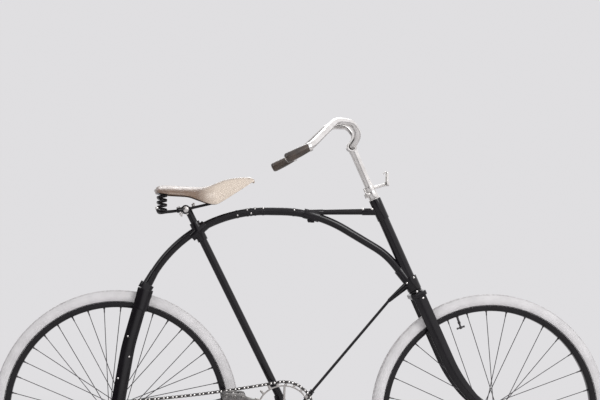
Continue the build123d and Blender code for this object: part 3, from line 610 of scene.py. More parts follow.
@dataclass(frozen=True)
class Finish:
    """A finish whose colour, gloss and fine relief all vary over the surface."""

    name: str
    colour: Colour
    shade: Colour
    roughness: float
    spread: float
    metallic: float = 0.0
    coat: float = 0.0
    specular: float = 0.5
    mottle: float = 30.0
    relief: float = 400.0
    depth: float = 0.00004
    bare: Colour = (0.3, 0.29, 0.28)
    wear: float = 0.0
    wear_width: float = 0.0012
    dust: float = 0.2
    dust_roughness: float = 0.5

    def relief_height(self, sheet: Sheet, place: bpy.types.NodeSocket) -> bpy.types.NodeSocket:
        """Return the height that the fine relief follows."""
        return sheet.noise(place, self.relief, 3.0, 0.6)

    def tint(self, sheet: Sheet, place: bpy.types.NodeSocket) -> bpy.types.NodeSocket:
        """Return the finish's own colour, before wear and dust."""
        patches = sheet.spread(sheet.noise(place, self.mottle, 5.0, 0.6), 0.3, 0.7, 0.0, 1.0)
        return sheet.blend(patches, self.colour, self.shade)

    def make(self, groups: dict[str, bpy.types.NodeTree]) -> bpy.types.Material:
        """Build the finish's material.

        Args:
            groups: The shared shader groups by name.

        Returns:
            The material.
        """
        material = bpy.data.materials.new(self.name)
        material.use_nodes = True
        sheet = Sheet(material.node_tree)
        shader = material.node_tree.nodes["Principled BSDF"]
        place = sheet.node("TexCoord").outputs["Object"]
        colour = self.tint(sheet, place)
        gloss = sheet.noise(place, self.mottle * 2.3, 5.0, 0.6)
        rough = sheet.spread(gloss, 0.3, 0.72, self.roughness - self.spread, self.roughness + self.spread)
        if self.wear:
            worn = sheet.node("Group", node_tree=groups["worn_edges"])
            worn.inputs["Width"].default_value = self.wear_width
            worn.inputs["Amount"].default_value = self.wear
            colour = sheet.blend(worn.outputs["Mask"], colour, self.bare)
        dusty = sheet.node("Group", node_tree=groups["settled_dust"])
        dusty.inputs["Amount"].default_value = self.dust
        colour = sheet.blend(dusty.outputs["Mask"], colour, DUST)
        dulled = sheet.sums("MULTIPLY", dusty.outputs["Mask"], self.dust_roughness)
        rough = sheet.sums("ADD", rough, dulled, clamp=True)
        sheet.wire(colour, shader.inputs["Base Color"])
        sheet.wire(rough, shader.inputs["Roughness"])
        if self.metallic:
            clean = sheet.sums("MULTIPLY", sheet.sums("SUBTRACT", 1.0, dusty.outputs["Mask"]), self.metallic)
            sheet.wire(clean, shader.inputs["Metallic"])
        shader.inputs["Specular IOR Level"].default_value = self.specular
        shader.inputs["Coat Weight"].default_value = self.coat
        shader.inputs["Coat Roughness"].default_value = 0.12
        bump = sheet.node("Bump", Strength=0.6, Distance=self.depth)
        sheet.wire(self.relief_height(sheet, place), bump.inputs["Height"])
        sheet.wire(bump.outputs["Normal"], shader.inputs["Normal"])
        return material


@dataclass(frozen=True)
class Hide(Finish):
    """Leather with a pebbled grain and a painted pale sheen on the flanks of its nose."""

    grain: float = 620.0
    creases: float = 0.35
    painted_sheen: Colour = (0.8, 0.69, 0.58)

    def tint(self, sheet: Sheet, place: bpy.types.NodeSocket) -> bpy.types.NodeSocket:
        """Return the leather's colour, with a painted pale sheen on the nose's sideways-facing flanks."""
        plain = super().tint(sheet, place)
        parts = sheet.node("SeparateXYZ")
        sheet.wire(place, parts.inputs[0])
        ripple = sheet.sums("MULTIPLY", sheet.sums("SUBTRACT", sheet.noise(place, 16.0, 4.0, 0.6), 0.5), 0.06)
        # Painted sheen: the nose's flanks are painted paler where they face sideways, standing in for glare.
        nose = sheet.spread(sheet.sums("ADD", parts.outputs["X"], ripple), 0.05, 0.13, 0.0, 1.0)
        facing_out = sheet.node("SeparateXYZ")
        sheet.wire(sheet.node("NewGeometry").outputs["Normal"], facing_out.inputs[0])
        flank = sheet.spread(sheet.sums("ABSOLUTE", facing_out.outputs["Y"]), 0.35, 0.8, 0.3, 1.0)
        return sheet.blend(sheet.sums("MULTIPLY", nose, flank), plain, self.painted_sheen)

    def relief_height(self, sheet: Sheet, place: bpy.types.NodeSocket) -> bpy.types.NodeSocket:
        """Return the height of the grain and creases."""
        skin = sheet.node("Group", node_tree=bpy.data.node_groups["skin_grain"])
        skin.inputs["Scale"].default_value = self.grain
        skin.inputs["Creases"].default_value = self.creases
        return skin.outputs["Height"]


@dataclass(frozen=True)
class RoadRubber(Finish):
    """Pale tyre rubber, scuffed darker where it meets the road."""

    axle: Spot = REAR_AXLE
    scuffed: Colour = (0.33, 0.31, 0.31)
    tread_radii: tuple[float, float] = (0.3755, 0.3805)

    def tint(self, sheet: Sheet, place: bpy.types.NodeSocket) -> bpy.types.NodeSocket:
        """Return the rubber's colour, darker on the tread and in fine scratches along it."""
        plain = super().tint(sheet, place)
        middle = at(self.axle)
        shifted = sheet.node("Mapping", vector_type="POINT")
        shifted.inputs["Location"].default_value = (-middle.x, 0.0, -middle.z)
        sheet.wire(place, shifted.inputs["Vector"])
        flat = sheet.node("VectorMath", operation="MULTIPLY")
        flat.inputs[1].default_value = (1.0, 0.0, 1.0)
        sheet.wire(shifted.outputs[0], flat.inputs[0])
        reach = sheet.node("VectorMath", operation="LENGTH")
        sheet.wire(flat.outputs[0], reach.inputs[0])
        tread = sheet.spread(reach.outputs["Value"], *self.tread_radii, 0.0, 1.0)
        marks = sheet.spread(sheet.noise(place, 120.0, 6.0, 0.7), 0.35, 0.7, 0.1, 1.0)
        return sheet.blend(sheet.sums("MULTIPLY", tread, marks), plain, self.scuffed)


class Coat(Enum):
    """The finishes of the bicycle's pieces."""

    ENAMEL = Finish(
        "stoved_enamel", (0.0065, 0.0055, 0.007), (0.011, 0.0095, 0.012), 0.13, 0.05, specular=0.3, mottle=14.0,
        relief=160.0, depth=0.00002, wear=0.5, wear_width=0.0009, dust=0.04,
    )
    NICKEL = Finish(
        "nickel_plate", (0.78, 0.76, 0.74), (0.64, 0.62, 0.6), 0.2, 0.09, metallic=1.0, mottle=45.0,
        relief=700.0, depth=0.00001, bare=(0.5, 0.44, 0.33), wear=0.3, dust=0.12,
    )
    TARNISHED = Finish(
        "tarnished_nickel", (0.52, 0.5, 0.48), (0.36, 0.34, 0.33), 0.34, 0.1, metallic=1.0, mottle=60.0,
        relief=900.0, depth=0.00002, dust=0.25,
    )
    # Rougher nickel for the cranks and pedals; its dark colour is a painted dark reflection.
    DULLED = Finish(
        "dulled_nickel_painted_dark", (0.26, 0.25, 0.245), (0.15, 0.145, 0.14), 0.36, 0.1, metallic=1.0, mottle=60.0,
        relief=900.0, depth=0.00001, bare=(0.5, 0.44, 0.33), wear=0.4, dust=0.1,
    )
    SPOKE_WIRE = Finish(
        "spoke_wire", (0.1, 0.095, 0.1), (0.05, 0.047, 0.05), 0.42, 0.1, metallic=0.7, mottle=80.0,
        relief=1200.0, depth=0.00001, dust=0.12,
    )
    CHAIN_STEEL = Finish(
        "oiled_steel", (0.1, 0.094, 0.092), (0.04, 0.037, 0.037), 0.36, 0.12, metallic=0.8, mottle=110.0,
        relief=1500.0, depth=0.00003, bare=(0.4, 0.38, 0.36), wear=0.5, wear_width=0.0005, dust=0.08,
    )
    HIDE = Hide(
        "saddle_hide", (0.2, 0.125, 0.08), (0.12, 0.07, 0.045), 0.34, 0.09, coat=0.2, mottle=18.0,
        depth=0.00018, bare=(0.46, 0.33, 0.22), wear=0.6, wear_width=0.002, dust=0.1,
    )
    HORN = Finish(
        "dark_horn", (0.03, 0.022, 0.018), (0.075, 0.05, 0.035), 0.3, 0.08, coat=0.3, mottle=26.0,
        relief=500.0, depth=0.00003, dust=0.08,
    )
    TREAD_BLOCK = Finish(
        "block_rubber", (0.03, 0.028, 0.028), (0.055, 0.05, 0.05), 0.7, 0.1, mottle=60.0,
        relief=1400.0, depth=0.00006, bare=(0.13, 0.12, 0.12), wear=0.4, dust=0.14,
    )
    REAR_RUBBER = RoadRubber(
        "pale_rubber_rear", (0.8, 0.785, 0.79), (0.7, 0.685, 0.69), 0.74, 0.08, mottle=20.0,
        relief=1100.0, depth=0.00006, dust=0.12,
    )
    FRONT_RUBBER = RoadRubber(
        "pale_rubber_front", (0.8, 0.785, 0.79), (0.7, 0.685, 0.69), 0.74, 0.08, mottle=20.0,
        relief=1100.0, depth=0.00006, dust=0.12, axle=FRONT_AXLE,
    )


class Wardrobe:
    """Makes each finish's material once and dresses pieces in it."""

    SLOTS = {
        Coat.ENAMEL: "black_enamel", Coat.NICKEL: "nickel", Coat.TARNISHED: "nickel", Coat.DULLED: "nickel",
        Coat.SPOKE_WIRE: "spoke_steel", Coat.CHAIN_STEEL: "chain_steel", Coat.HIDE: "saddle_leather",
        Coat.HORN: "grip_horn", Coat.TREAD_BLOCK: "pedal_rubber", Coat.REAR_RUBBER: "tyre_rubber",
        Coat.FRONT_RUBBER: "tyre_rubber",
    }

    def __init__(self) -> None:
        """Build the shared groups, then every material."""
        groups = {group.name: group for group in (worn_edges(), settled_dust(), skin_grain())}
        self.materials = {coat: coat.value.make(groups) for coat in Coat}

    def dress(
        self, piece: bpy.types.Object, name: str, body: str, coat: Coat,
        replaces: Sequence[str] = (), smooth: float = 34.0,
    ) -> None:
        """Name, shade and finish a new piece and let it ride on its body.

        Args:
            piece: The finished mesh.
            name: The piece's plain name.
            body: The body that it moves with.
            coat: Its finish.
            replaces: The CAD nodes that it stands for.
            smooth: Edges sharper than this stay sharp, in degrees.
        """
        piece.name = name
        piece.data.name = name
        piece.data.materials.clear()
        piece.data.materials.append(self.materials[coat])
        pick(piece)
        bpy.ops.object.shade_smooth_by_angle(angle=radians(smooth))
        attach(piece, body)
        if replaces:
            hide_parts(*replaces)
        LOG.info("%s: %d faces on %s", name, len(piece.data.polygons), body)

    def carry(self, node: str, coat: Coat) -> None:
        """Give a CAD node that keeps its own shape a finish."""
        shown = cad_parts[node]
        if shown.material_slots:
            for place in shown.material_slots:
                place.material = self.materials[coat]
        else:
            shown.data.materials.append(self.materials[coat])
        LOG.info("%s: carried over in %s", node, coat.value.name)


# The bicycle's sub-assemblies


@dataclass
class Wheel:
    """A wire wheel with its air tyre, rim, spokes, nipples, hub, valve and axle nuts; sizes in millimetres."""

    name: str
    axle: Spot
    spokes: int
    first_spoke: float
    flange_y: float
    hub_end: float
    valve_angle: float
    rubber: Coat
    body: str
    axle_body: str
    nut_y: float
    axle_end: float
    tyre_middle: float = 359.2
    tyre_half: tuple[float, float] = (24.6, 21.6)
    tread_from: float = 376.6
    groove: tuple[float, float] = (377.0, 379.9)
    rim_line: Sequence[tuple[float, float]] = (
        (20.9, 346.4), (20.4, 348.9), (18.9, 348.3), (18.6, 343.0), (17.6, 336.8), (15.4, 331.6), (12.0, 329.0),
        (6.5, 328.2),
    )
    spoke_circle: float = 22.0
    spoke_offset: float = 2.6
    spoke_rim: float = 327.6
    wire_radius: float = 1.25
    flange_radius: float = 25.0
    valve_foot: float = 328.5

    def tyre(self) -> bpy.types.Object:
        """Spin the tyre's oval section round the axle and raise a shallow tread band with two grooves."""
        rest()
        centre = at(self.axle)
        bpy.ops.mesh.primitive_circle_add(
            vertices=36, radius=1.0, location=centre + Vector((self.tyre_middle / 1000, 0, 0))
        )
        piece = bpy.context.object
        piece.scale = (self.tyre_half[1] / 1000, self.tyre_half[0] / 1000, 1.0)
        settle(piece)
        edit(piece)
        bpy.ops.mesh.select_all(action="SELECT")
        bpy.ops.mesh.spin(steps=160, angle=tau, center=centre, axis=ACROSS)
        heal(piece, 2e-5)
        edit(piece)

        def reach(face: bmesh.types.BMFace) -> float:
            """How far a face's middle is from the axle, in millimetres."""
            middle = face.calc_center_median() - centre
            return hypot(middle.x, middle.z) * 1000

        choose(piece, lambda face: reach(face) > self.tread_from)
        bpy.ops.mesh.inset(thickness=0.0011, depth=0.0004)
        choose(piece, lambda face: self.groove[0] < reach(face) < self.groove[1])
        bpy.ops.mesh.inset(thickness=0.0009, depth=-0.0005)
        rest()
        return piece

    def rim(self) -> bpy.types.Object:
        """Spin the rim's hollow line round the axle, close it and give it the rolled steel's thickness."""
        line = [*self.rim_line, *[(-y, r) for y, r in reversed(self.rim_line)]]
        piece = lathe(at(self.axle), ACROSS, line, 160)
        finish_with(piece, "SOLIDIFY", thickness=0.0011, offset=0.0, use_even_offset=True)
        return round_edges(piece, 0.0003, 2, 50.0)

    def spoke_lines(self) -> list[tuple[Vector, Vector, int]]:
        """The spokes' two ends and the flange that each starts from."""
        lines = []
        swing = degrees(acos(self.spoke_circle / self.spoke_rim))
        for number in range(self.spokes):
            flange = 1 if number % 2 else -1
            lead = -1 if (number + 1) // 2 % 2 else 1
            angle = self.first_spoke + 360.0 / self.spokes * number
            hub_y = flange * (self.flange_y + lead * self.spoke_offset)
            foot = at(turned(self.axle, self.spoke_circle, angle - lead * swing), hub_y)
            lines.append((foot, at(turned(self.axle, self.spoke_rim, angle), flange * 3.0), lead * flange))
        return lines

    def wires(self) -> bpy.types.Object:
        """Draw each spoke with the bent head that holds it in its flange."""
        made = []
        for foot, top, inwards in self.spoke_lines():
            made.append(rod(foot, top, self.wire_radius, sides=10))
            made.append(dome(foot, Vector((0, inwards, 0)), 2.3, 1.6, 8))
        return together(made)

    def nipples(self) -> bpy.types.Object:
        """Model one spoke nipple and copy it to every spoke's end at the rim."""
        pattern = lathe(
            Vector((0, 0, 0)), UP,
            ((-14.5, 0.0), (-14.5, 1.6), (-13.9, 1.9), (-3.4, 2.1), (-2.6, 3.1), (1.2, 3.3), (1.2, 0.0)), 10,
        )
        moves = []
        for foot, top, _ in self.spoke_lines():
            moves.append(Matrix.Translation(top) @ (top - foot).to_track_quat("Z", "Y").to_matrix().to_4x4())
        return copies(pattern, moves)

    def hub(self) -> bpy.types.Object:
        """Turn the hub's barrel, oil band, two flanges and bearing cups in one profile."""
        end, flange, rim = self.hub_end, self.flange_y, self.flange_radius
        half = (
            (0.0, 15.0), (4.0, 15.0), (4.8, 14.2), (5.4, 12.6), (flange - 9.0, 12.0), (flange - 5.0, 13.6),
            (flange - 2.2, 17.0), (flange - 1.9, rim - 1.0), (flange - 1.0, rim), (flange + 1.0, rim),
            (flange + 1.9, rim - 1.0), (flange + 2.2, 17.5), (flange + 3.0, 15.0), (end - 1.2, 14.8),
            (end, 13.6), (end, 5.3),
        )
        line = [*reversed([(-length, radius) for length, radius in half[1:]]), *half]
        return lathe(at(self.axle), ACROSS, [*line, line[0]], 56)

    def valve(self) -> bpy.types.Object:
        """Model the air valve that stands in from the rim, with its lock nut and the cross-piece at its end."""
        foot = at(turned(self.axle, self.valve_foot, self.valve_angle))
        inwards = (at(self.axle) - foot).normalized()
        stem = lathe(
            foot, inwards,
            ((-2.0, 0.0), (-2.0, 5.6), (2.4, 5.6), (3.0, 3.7), (19.0, 3.6), (19.0, 4.8), (25.0, 4.8), (25.6, 3.2),
             (34.0, 3.1), (34.4, 4.6), (41.6, 4.6), (42.6, 3.4), (42.8, 0.0)), 18,
        )
        across = inwards.cross(ACROSS).normalized()
        middle = foot + inwards * 0.038
        wings = [
            rod(middle + across * sign * 0.003, middle + across * sign * 0.0135, 2.3, 3.5, 12, 0.9)
            for sign in (-1, 1)
        ]
        return together([stem, *wings])

    def nuts(self) -> bpy.types.Object:
        """Model the axle with its washers, six-sided nuts and rounded ends."""
        parts = [rod(at(self.axle, -self.axle_end), at(self.axle, self.axle_end), 4.9, sides=20, rounding=1.2)]
        for side in Side:
            out = ACROSS * side.value
            face = at(self.axle, side.value * self.nut_y)
            parts.append(rod(face, face + out * 0.0016, 12.0, sides=28, rounding=0.5))
            parts.append(nut(face + out * 0.0014, out, 10.4, 7.2))
        return together(parts)

    def build(self, wardrobe: Wardrobe) -> None:
        """Build and dress every piece of the wheel."""
        name = self.name
        wardrobe.dress(self.tyre(), f"{name}_tyre_cover", self.body, self.rubber, [f"{name}_tyre"])
        wardrobe.dress(self.rim(), f"{name}_rim_steel", self.body, Coat.ENAMEL, [f"{name}_rim"])
        wardrobe.dress(self.wires(), f"{name}_spoke_wires", self.body, Coat.SPOKE_WIRE, [f"{name}_spokes"])
        wardrobe.dress(self.nipples(), f"{name}_nipples", self.body, Coat.SPOKE_WIRE)
        wardrobe.dress(self.hub(), f"{name}_hub_shell", self.body, Coat.TARNISHED, [f"{name}_hub"])
        wardrobe.dress(self.valve(), f"{name}_valve", self.body, Coat.SPOKE_WIRE)
        wardrobe.dress(self.nuts(), f"{name}_axle_nuts", self.axle_body, Coat.TARNISHED, [f"{name}_axle"])


@dataclass
class Drive:
    """The fixed chain drive on the right-hand side, with its cranks and pedals; sizes in millimetres."""

    pitch: float = 28.575
    big_teeth: int = 21
    small_teeth: int = 8
    links: int = 51
    sag: float = 8.0
    arms: int = 5
    block_ends: tuple[float, float] = (0.3, 0.7)
    plate_ends: tuple[float, float] = (-0.3, 0.3)
    wheel_thickness: float = 4.8
    crank_length: float = 170.0
    crank_angle: float = 160.0
    crank_face: float = 63.5
    crank_thickness: float = 12.0
    pedal_inner: float = 84.0
    pedal_outer: float = 172.0
    pedal_half: float = 25.0
    rubber_corners: Sequence[tuple[float, float]] = (
        (9.4, -8.6), (8.4, -6.4), (9.4, -4.4), (8.4, -2.1), (9.4, 0.0), (8.4, 2.1), (9.4, 4.4), (8.4, 6.4),
        (9.4, 8.6), (7.4, 10.9), (5.2, 9.7), (3.0, 10.9), (0.0, 9.7), (-3.0, 10.9), (-5.2, 9.7), (-7.4, 10.9),
    )

    def radius(self, teeth: int) -> float:
        """The pitch circle's radius of a toothed wheel."""
        return self.pitch / 2 / sin(pi / teeth)

    def chain_place(self, count: float) -> Spot:
        """The spot of the chain's line at a number of pitches along it.

        Args:
            count: Pitches on from the chainwheel's tooth that points forward; a whole number is
                a tooth's middle.

        Returns:
            The spot in the side view.
        """
        big, small = self.radius(self.big_teeth), self.radius(self.small_teeth)
        run = (BOTTOM_BRACKET[0] - REAR_AXLE[0], BOTTOM_BRACKET[1] - REAR_AXLE[1])
        lean = degrees(atan2(run[1], run[0]))
        swing = degrees(acos((small - big) / hypot(*run)))
        big_step, small_step = 360.0 / self.big_teeth, 360.0 / self.small_teeth
        leave_big, meet_big = -(lean - swing) / big_step, -(lean + swing) / big_step
        straight = sqrt(hypot(*run) ** 2 - (big - small) ** 2) / self.pitch
        shift = round(leave_big + straight + (lean - swing) / small_step)
        meet_small = -(lean - swing) / small_step + shift
        leave_small = meet_small + (360.0 - 2 * swing) / small_step
        count = (count - meet_big) % self.links + meet_big
        if count <= leave_big:
            return turned(BOTTOM_BRACKET, big, -count * big_step)
        if count <= meet_small:
            share, drop = (count - leave_big) / (meet_small - leave_big), 0.0
            start, end = turned(BOTTOM_BRACKET, big, lean - swing), turned(REAR_AXLE, small, lean - swing)
        elif count <= leave_small:
            return turned(REAR_AXLE, small, -(count - shift) * small_step)
        else:
            share, drop = (count - leave_small) / (meet_big + self.links - leave_small), self.sag
            start, end = turned(REAR_AXLE, small, lean + swing), turned(BOTTOM_BRACKET, big, lean + swing)
        low = 4 * drop * share * (1 - share)
        return (start[0] + (end[0] - start[0]) * share, start[1] + (end[1] - start[1]) * share - low)

    def link_moves(self, first: float, last: float) -> list[Matrix]:
        """One matrix for each link, from one rivet's place in its pitch to another's."""
        moves = []
        for number in range(self.links):
            rear, front = self.chain_place(number + first), self.chain_place(number + last)
            middle = ((rear[0] + front[0]) / 2, (rear[1] + front[1]) / 2)
            turn = Matrix.Rotation(-atan2(front[1] - rear[1], front[0] - rear[0]), 4, "Y")
            moves.append(Matrix.Translation(at(middle, CHAIN_LINE)) @ turn)
        return moves

    @staticmethod
    def waisted(half: float, end_radius: float, waist: float) -> list[Spot]:
        """The outline of a link with two round ends and a narrower waist, about the part's origin."""
        points = []
        for centre, start in ((half, -75.0), (-half, 105.0)):
            points += [turned((centre, 0.0), end_radius, start + 150.0 * step / 6) for step in range(7)]
            points.append((0.0, waist if centre > 0 else -waist))
        return [(x + SEAT[0], z + SEAT[1]) for x, z in points]

    def chain(self, wardrobe: Wardrobe) -> None:
        """Model one block, one pair of side plates and one pair of rivets, and copy them along the chain."""
        block_half, plate_half = self.pitch * 0.2, self.pitch * 0.3
        blocks = plate(self.waisted(block_half, 4.6, 3.7), -3.3, 6.6, 0.5)
        wardrobe.dress(
            copies(blocks, self.link_moves(*self.block_ends)), "chain_blocks", "frame", Coat.CHAIN_STEEL, ["chain"]
        )
        plates = together([plate(self.waisted(plate_half, 4.7, 3.6), y, 1.9, 0.3) for y in (-5.6, 3.7)])
        wardrobe.dress(
            copies(plates, self.link_moves(*self.plate_ends)), "chain_side_plates", "frame", Coat.CHAIN_STEEL
        )
        rivets = together([
            lathe(
                at((SEAT[0] + x, SEAT[1])), ACROSS,
                ((-7.4, 0.0), (-7.1, 1.7), (-6.3, 3.0), (-5.4, 3.4), (5.4, 3.4), (6.3, 3.0), (7.1, 1.7), (7.4, 0.0)),
                12,
            )
            for x in (-block_half, block_half)
        ])
        wardrobe.dress(copies(rivets, self.link_moves(*self.block_ends)), "chain_rivets", "frame", Coat.NICKEL)

    def toothed_ring(self, centre: Spot, teeth: int, inside: float, root: float) -> bpy.types.Object:
        """Cut one tooth with its piece of ring and copy it round a toothed wheel.

        Args:
            centre: The wheel's centre.
            teeth: How many teeth it has.
            inside: The ring's inner radius.
            root: How far the gaps lie below the pitch circle.

        Returns:
            The ring, chamfered along its teeth.
        """
        step, radius = 360.0 / teeth, self.radius(teeth)
        tooth = ((0.17, -root), (0.14, -root * 0.35), (0.126, 0.0), (0.1, 2.4), (0.053, 4.2))
        outer = [(-share, over) for share, over in tooth] + [(share, over) for share, over in reversed(tooth)]
        outline = [turned(centre, inside, step * share) for share in (0.5, 0.25, 0.0, -0.25, -0.5)]
        outline.append(turned(centre, radius - root, -0.5 * step))
        outline += [turned(centre, radius + over, share * step) for share, over in outer]
        outline.append(turned(centre, radius - root, 0.5 * step))
        pattern = plate(outline, CHAIN_LINE - self.wheel_thickness / 2, self.wheel_thickness, 0.0)
        edit(pattern)
        seam = step * 0.49

        def cut(face: bmesh.types.BMFace) -> bool:
            """Whether a face is the flat cut towards the next tooth."""
            middle = face.calc_center_median() - at(centre)
            angle = abs(degrees(atan2(middle.z, middle.x)))
            return abs(face.normal.y) < 0.5 and angle > seam

        choose(pattern, cut)
        bpy.ops.mesh.delete(type="FACE")
        rest()
        turns = []
        for number in range(teeth):
            turn = Matrix.Rotation(-radians(step * number), 4, "Y")
            turns.append(Matrix.Translation(at(centre)) @ turn @ Matrix.Translation(-at(centre)))
        ring = heal(copies(pattern, turns), 2e-5)
        return round_edges(ring, 0.0006, 2, 30.0)

    def chainwheel(self) -> bpy.types.Object:
        """Build the chainwheel: thin toothed ring, five slender arms, boss and the bolts at the arms' ends."""
        parts = [self.toothed_ring(BOTTOM_BRACKET, self.big_teeth, 81.0, 10.0)]
        for number in range(self.arms):
            angle = self.crank_angle + 360.0 * number / self.arms
            middle = at(turned(BOTTOM_BRACKET, 50.0, angle), CHAIN_LINE)
            parts.append(block(middle, (66.0, 4.6, 6.8), angle, 1.4))
            bolt = turned(BOTTOM_BRACKET, 85.0, angle)
            for sign in (-1, 1):
                parts.append(dome(at(bolt, CHAIN_LINE + sign * 2.3), ACROSS * sign, 2.6, 1.8, 12))
        boss = lathe(
            at(BOTTOM_BRACKET), ACROSS,
            ((-62.8, 8.1), (-62.8, 15.8), (-62.0, 16.8), (-56.0, 17.0), (-54.6, 20.0), (-49.4, 20.0), (-48.0, 17.0),
             (-45.8, 16.6), (-45.0, 15.8), (-45.0, 8.1)), 48, closed=True,
        )
        return together([*parts, boss])

    def sprocket(self) -> bpy.types.Object:
        """Build the small toothed wheel with its collar and lock ring on the rear hub."""
        ring = self.toothed_ring(REAR_AXLE, self.small_teeth, 15.0, 8.0)
        collar = lathe(
            at(REAR_AXLE), ACROSS,
            ((-57.2, 15.0), (-57.2, 19.4), (-56.6, 20.0), (-47.4, 20.0), (-46.8, 19.4), (-46.8, 15.0)),
            40, closed=True,
        )
        return together([ring, collar])

    def crank_end(self, side: Side) -> tuple[float, Spot]:
        """The angle of one crank and the spot of its pedal."""
        angle = self.crank_angle if side is Side.RIGHT else self.crank_angle + 180.0
        return angle, turned(BOTTOM_BRACKET, self.crank_length, angle)

    def crank(self, side: Side) -> bpy.types.Object:
        """Forge one crank: tapered arm, round boss, pedal eye, spindle and the cotter with its nut."""
        sign = side.value
        angle, eye = self.crank_end(side)
        neck, flare = hypot(30.0, 10.6), degrees(atan2(10.6, 30.0))
        outline = [turned(BOTTOM_BRACKET, 15.6, angle + 98.0 + 164.0 * step / 12) for step in range(13)]
        outline += [turned(BOTTOM_BRACKET, neck, angle - flare), turned(eye, 8.6, angle - 120.0)]
        outline += [turned(eye, 11.6, angle - 96.0 + 192.0 * step / 12) for step in range(13)]
        outline += [turned(eye, 8.6, angle + 120.0), turned(BOTTOM_BRACKET, neck, angle + flare)]
        near = self.crank_face if sign > 0 else -self.crank_face - self.crank_thickness
        arm = plate(outline, near, self.crank_thickness, 2.6)
        face = sign * self.crank_face
        boss = lathe(
            at(BOTTOM_BRACKET), ACROSS,
            [(face + sign * length, radius) for length, radius in (
                (0.2, 8.1), (0.2, 16.4), (0.8, 17.0), (17.6, 17.0), (18.6, 16.2), (19.0, 15.0), (19.0, 8.1))],
            40, closed=True,
        )
        spindle = lathe(
            at(eye), ACROSS,
            [(face + sign * length, radius) for length, radius in (
                (1.0, 0.0), (1.0, 10.8), (13.4, 10.8), (14.0, 9.8), (17.6, 9.4), (18.2, 4.5), (104.0, 4.5),
                (104.4, 3.9), (104.4, 0.0))],
            28,
        )
        cross = at(turned(BOTTOM_BRACKET, 9.5, angle), face + sign * 9.5)
        upright = (at(turned(BOTTOM_BRACKET, 10.0, angle + 90.0)) - at(BOTTOM_BRACKET)).normalized()
        pin = rod(cross - upright * 0.0205, cross + upright * 0.021, 3.6, 4.2, 16, 0.6)
        lock = nut(cross - upright * 0.0165, -upright, 6.2, 4.6)
        return together([arm, boss, spindle, pin, lock])

    def pedal(self, side: Side) -> tuple[bpy.types.Object, bpy.types.Object]:
        """Build one pedal: barrel with cap, two end plates, tie rods, and two ribbed rubbers."""
        sign = side.value
        spot = self.crank_end(side)[1]
        inner, outer = self.pedal_inner, self.pedal_outer
        barrel = lathe(
            at(spot), ACROSS,
            [(sign * length, radius) for length, radius in (
                (inner, 4.9), (inner, 8.6), (inner + 0.8, 9.0), (inner + 9.0, 9.0), (inner + 12.0, 7.4),
                (outer - 14.0, 7.4), (outer - 10.0, 8.8), (outer - 2.4, 9.0), (outer - 1.0, 8.2), (outer, 6.4),
                (outer, 4.9))],
            32, closed=True,
        )
        metal = [barrel]
        half = self.pedal_half
        for place in (inner + 2.0, outer - 6.0):
            ends = [
                turned((spot[0] + reach, spot[1]), 11.8, start + 180.0 * step / 10)
                for reach, start in ((half, -90.0), (-half, 90.0)) for step in range(11)
            ]
            low = sign * place if sign > 0 else sign * place - 4.0
            metal.append(plate(ends, low, 4.0, 0.9))
        for reach in (-half, half):
            rail = (spot[0] + reach, spot[1])
            start, end = at(rail, sign * (inner + 1.0)), at(rail, sign * (outer - 0.6))
            metal.append(rod(start, end, 3.2, sides=14, rounding=0.8))
            metal.append(nut(at(rail, sign * (outer - 2.4)), ACROSS * sign, 5.4, 2.2))
        width = outer - inner - 14.0
        low = sign * (inner + outer) / 2 - width / 2
        outline = [*self.rubber_corners, *[(-x, -z) for x, z in self.rubber_corners]]
        rubbers = [
            plate([(spot[0] + reach + x, spot[1] + z) for x, z in outline], low, width, 0.5)
            for reach in (-half, half)
        ]
        return together(metal), together(rubbers)

    def build(self, wardrobe: Wardrobe) -> None:
        """Build and dress the chain, the toothed wheels, the cranks and the pedals."""
        self.chain(wardrobe)
        wardrobe.dress(self.chainwheel(), "chainwheel_steel", "crank_set", Coat.TARNISHED, ["chainwheel"])
        wardrobe.dress(self.sprocket(), "sprocket_steel", "rear_wheel", Coat.CHAIN_STEEL, ["rear_sprocket"])
        wardrobe.carry("crank_axle", Coat.CHAIN_STEEL)
        for side in Side:
            word, body = side.word, f"{side.word}_pedal"
            wardrobe.dress(self.crank(side), f"crank_forging_{word}", "crank_set", Coat.DULLED, [f"crank_{word}"])
            metal, rubber = self.pedal(side)
            wardrobe.dress(metal, f"pedal_frame_{word}", body, Coat.DULLED, [f"pedal_{word}"])
            wardrobe.dress(rubber, f"pedal_blocks_{word}", body, Coat.TREAD_BLOCK, [f"pedal_rubber_{word}"])


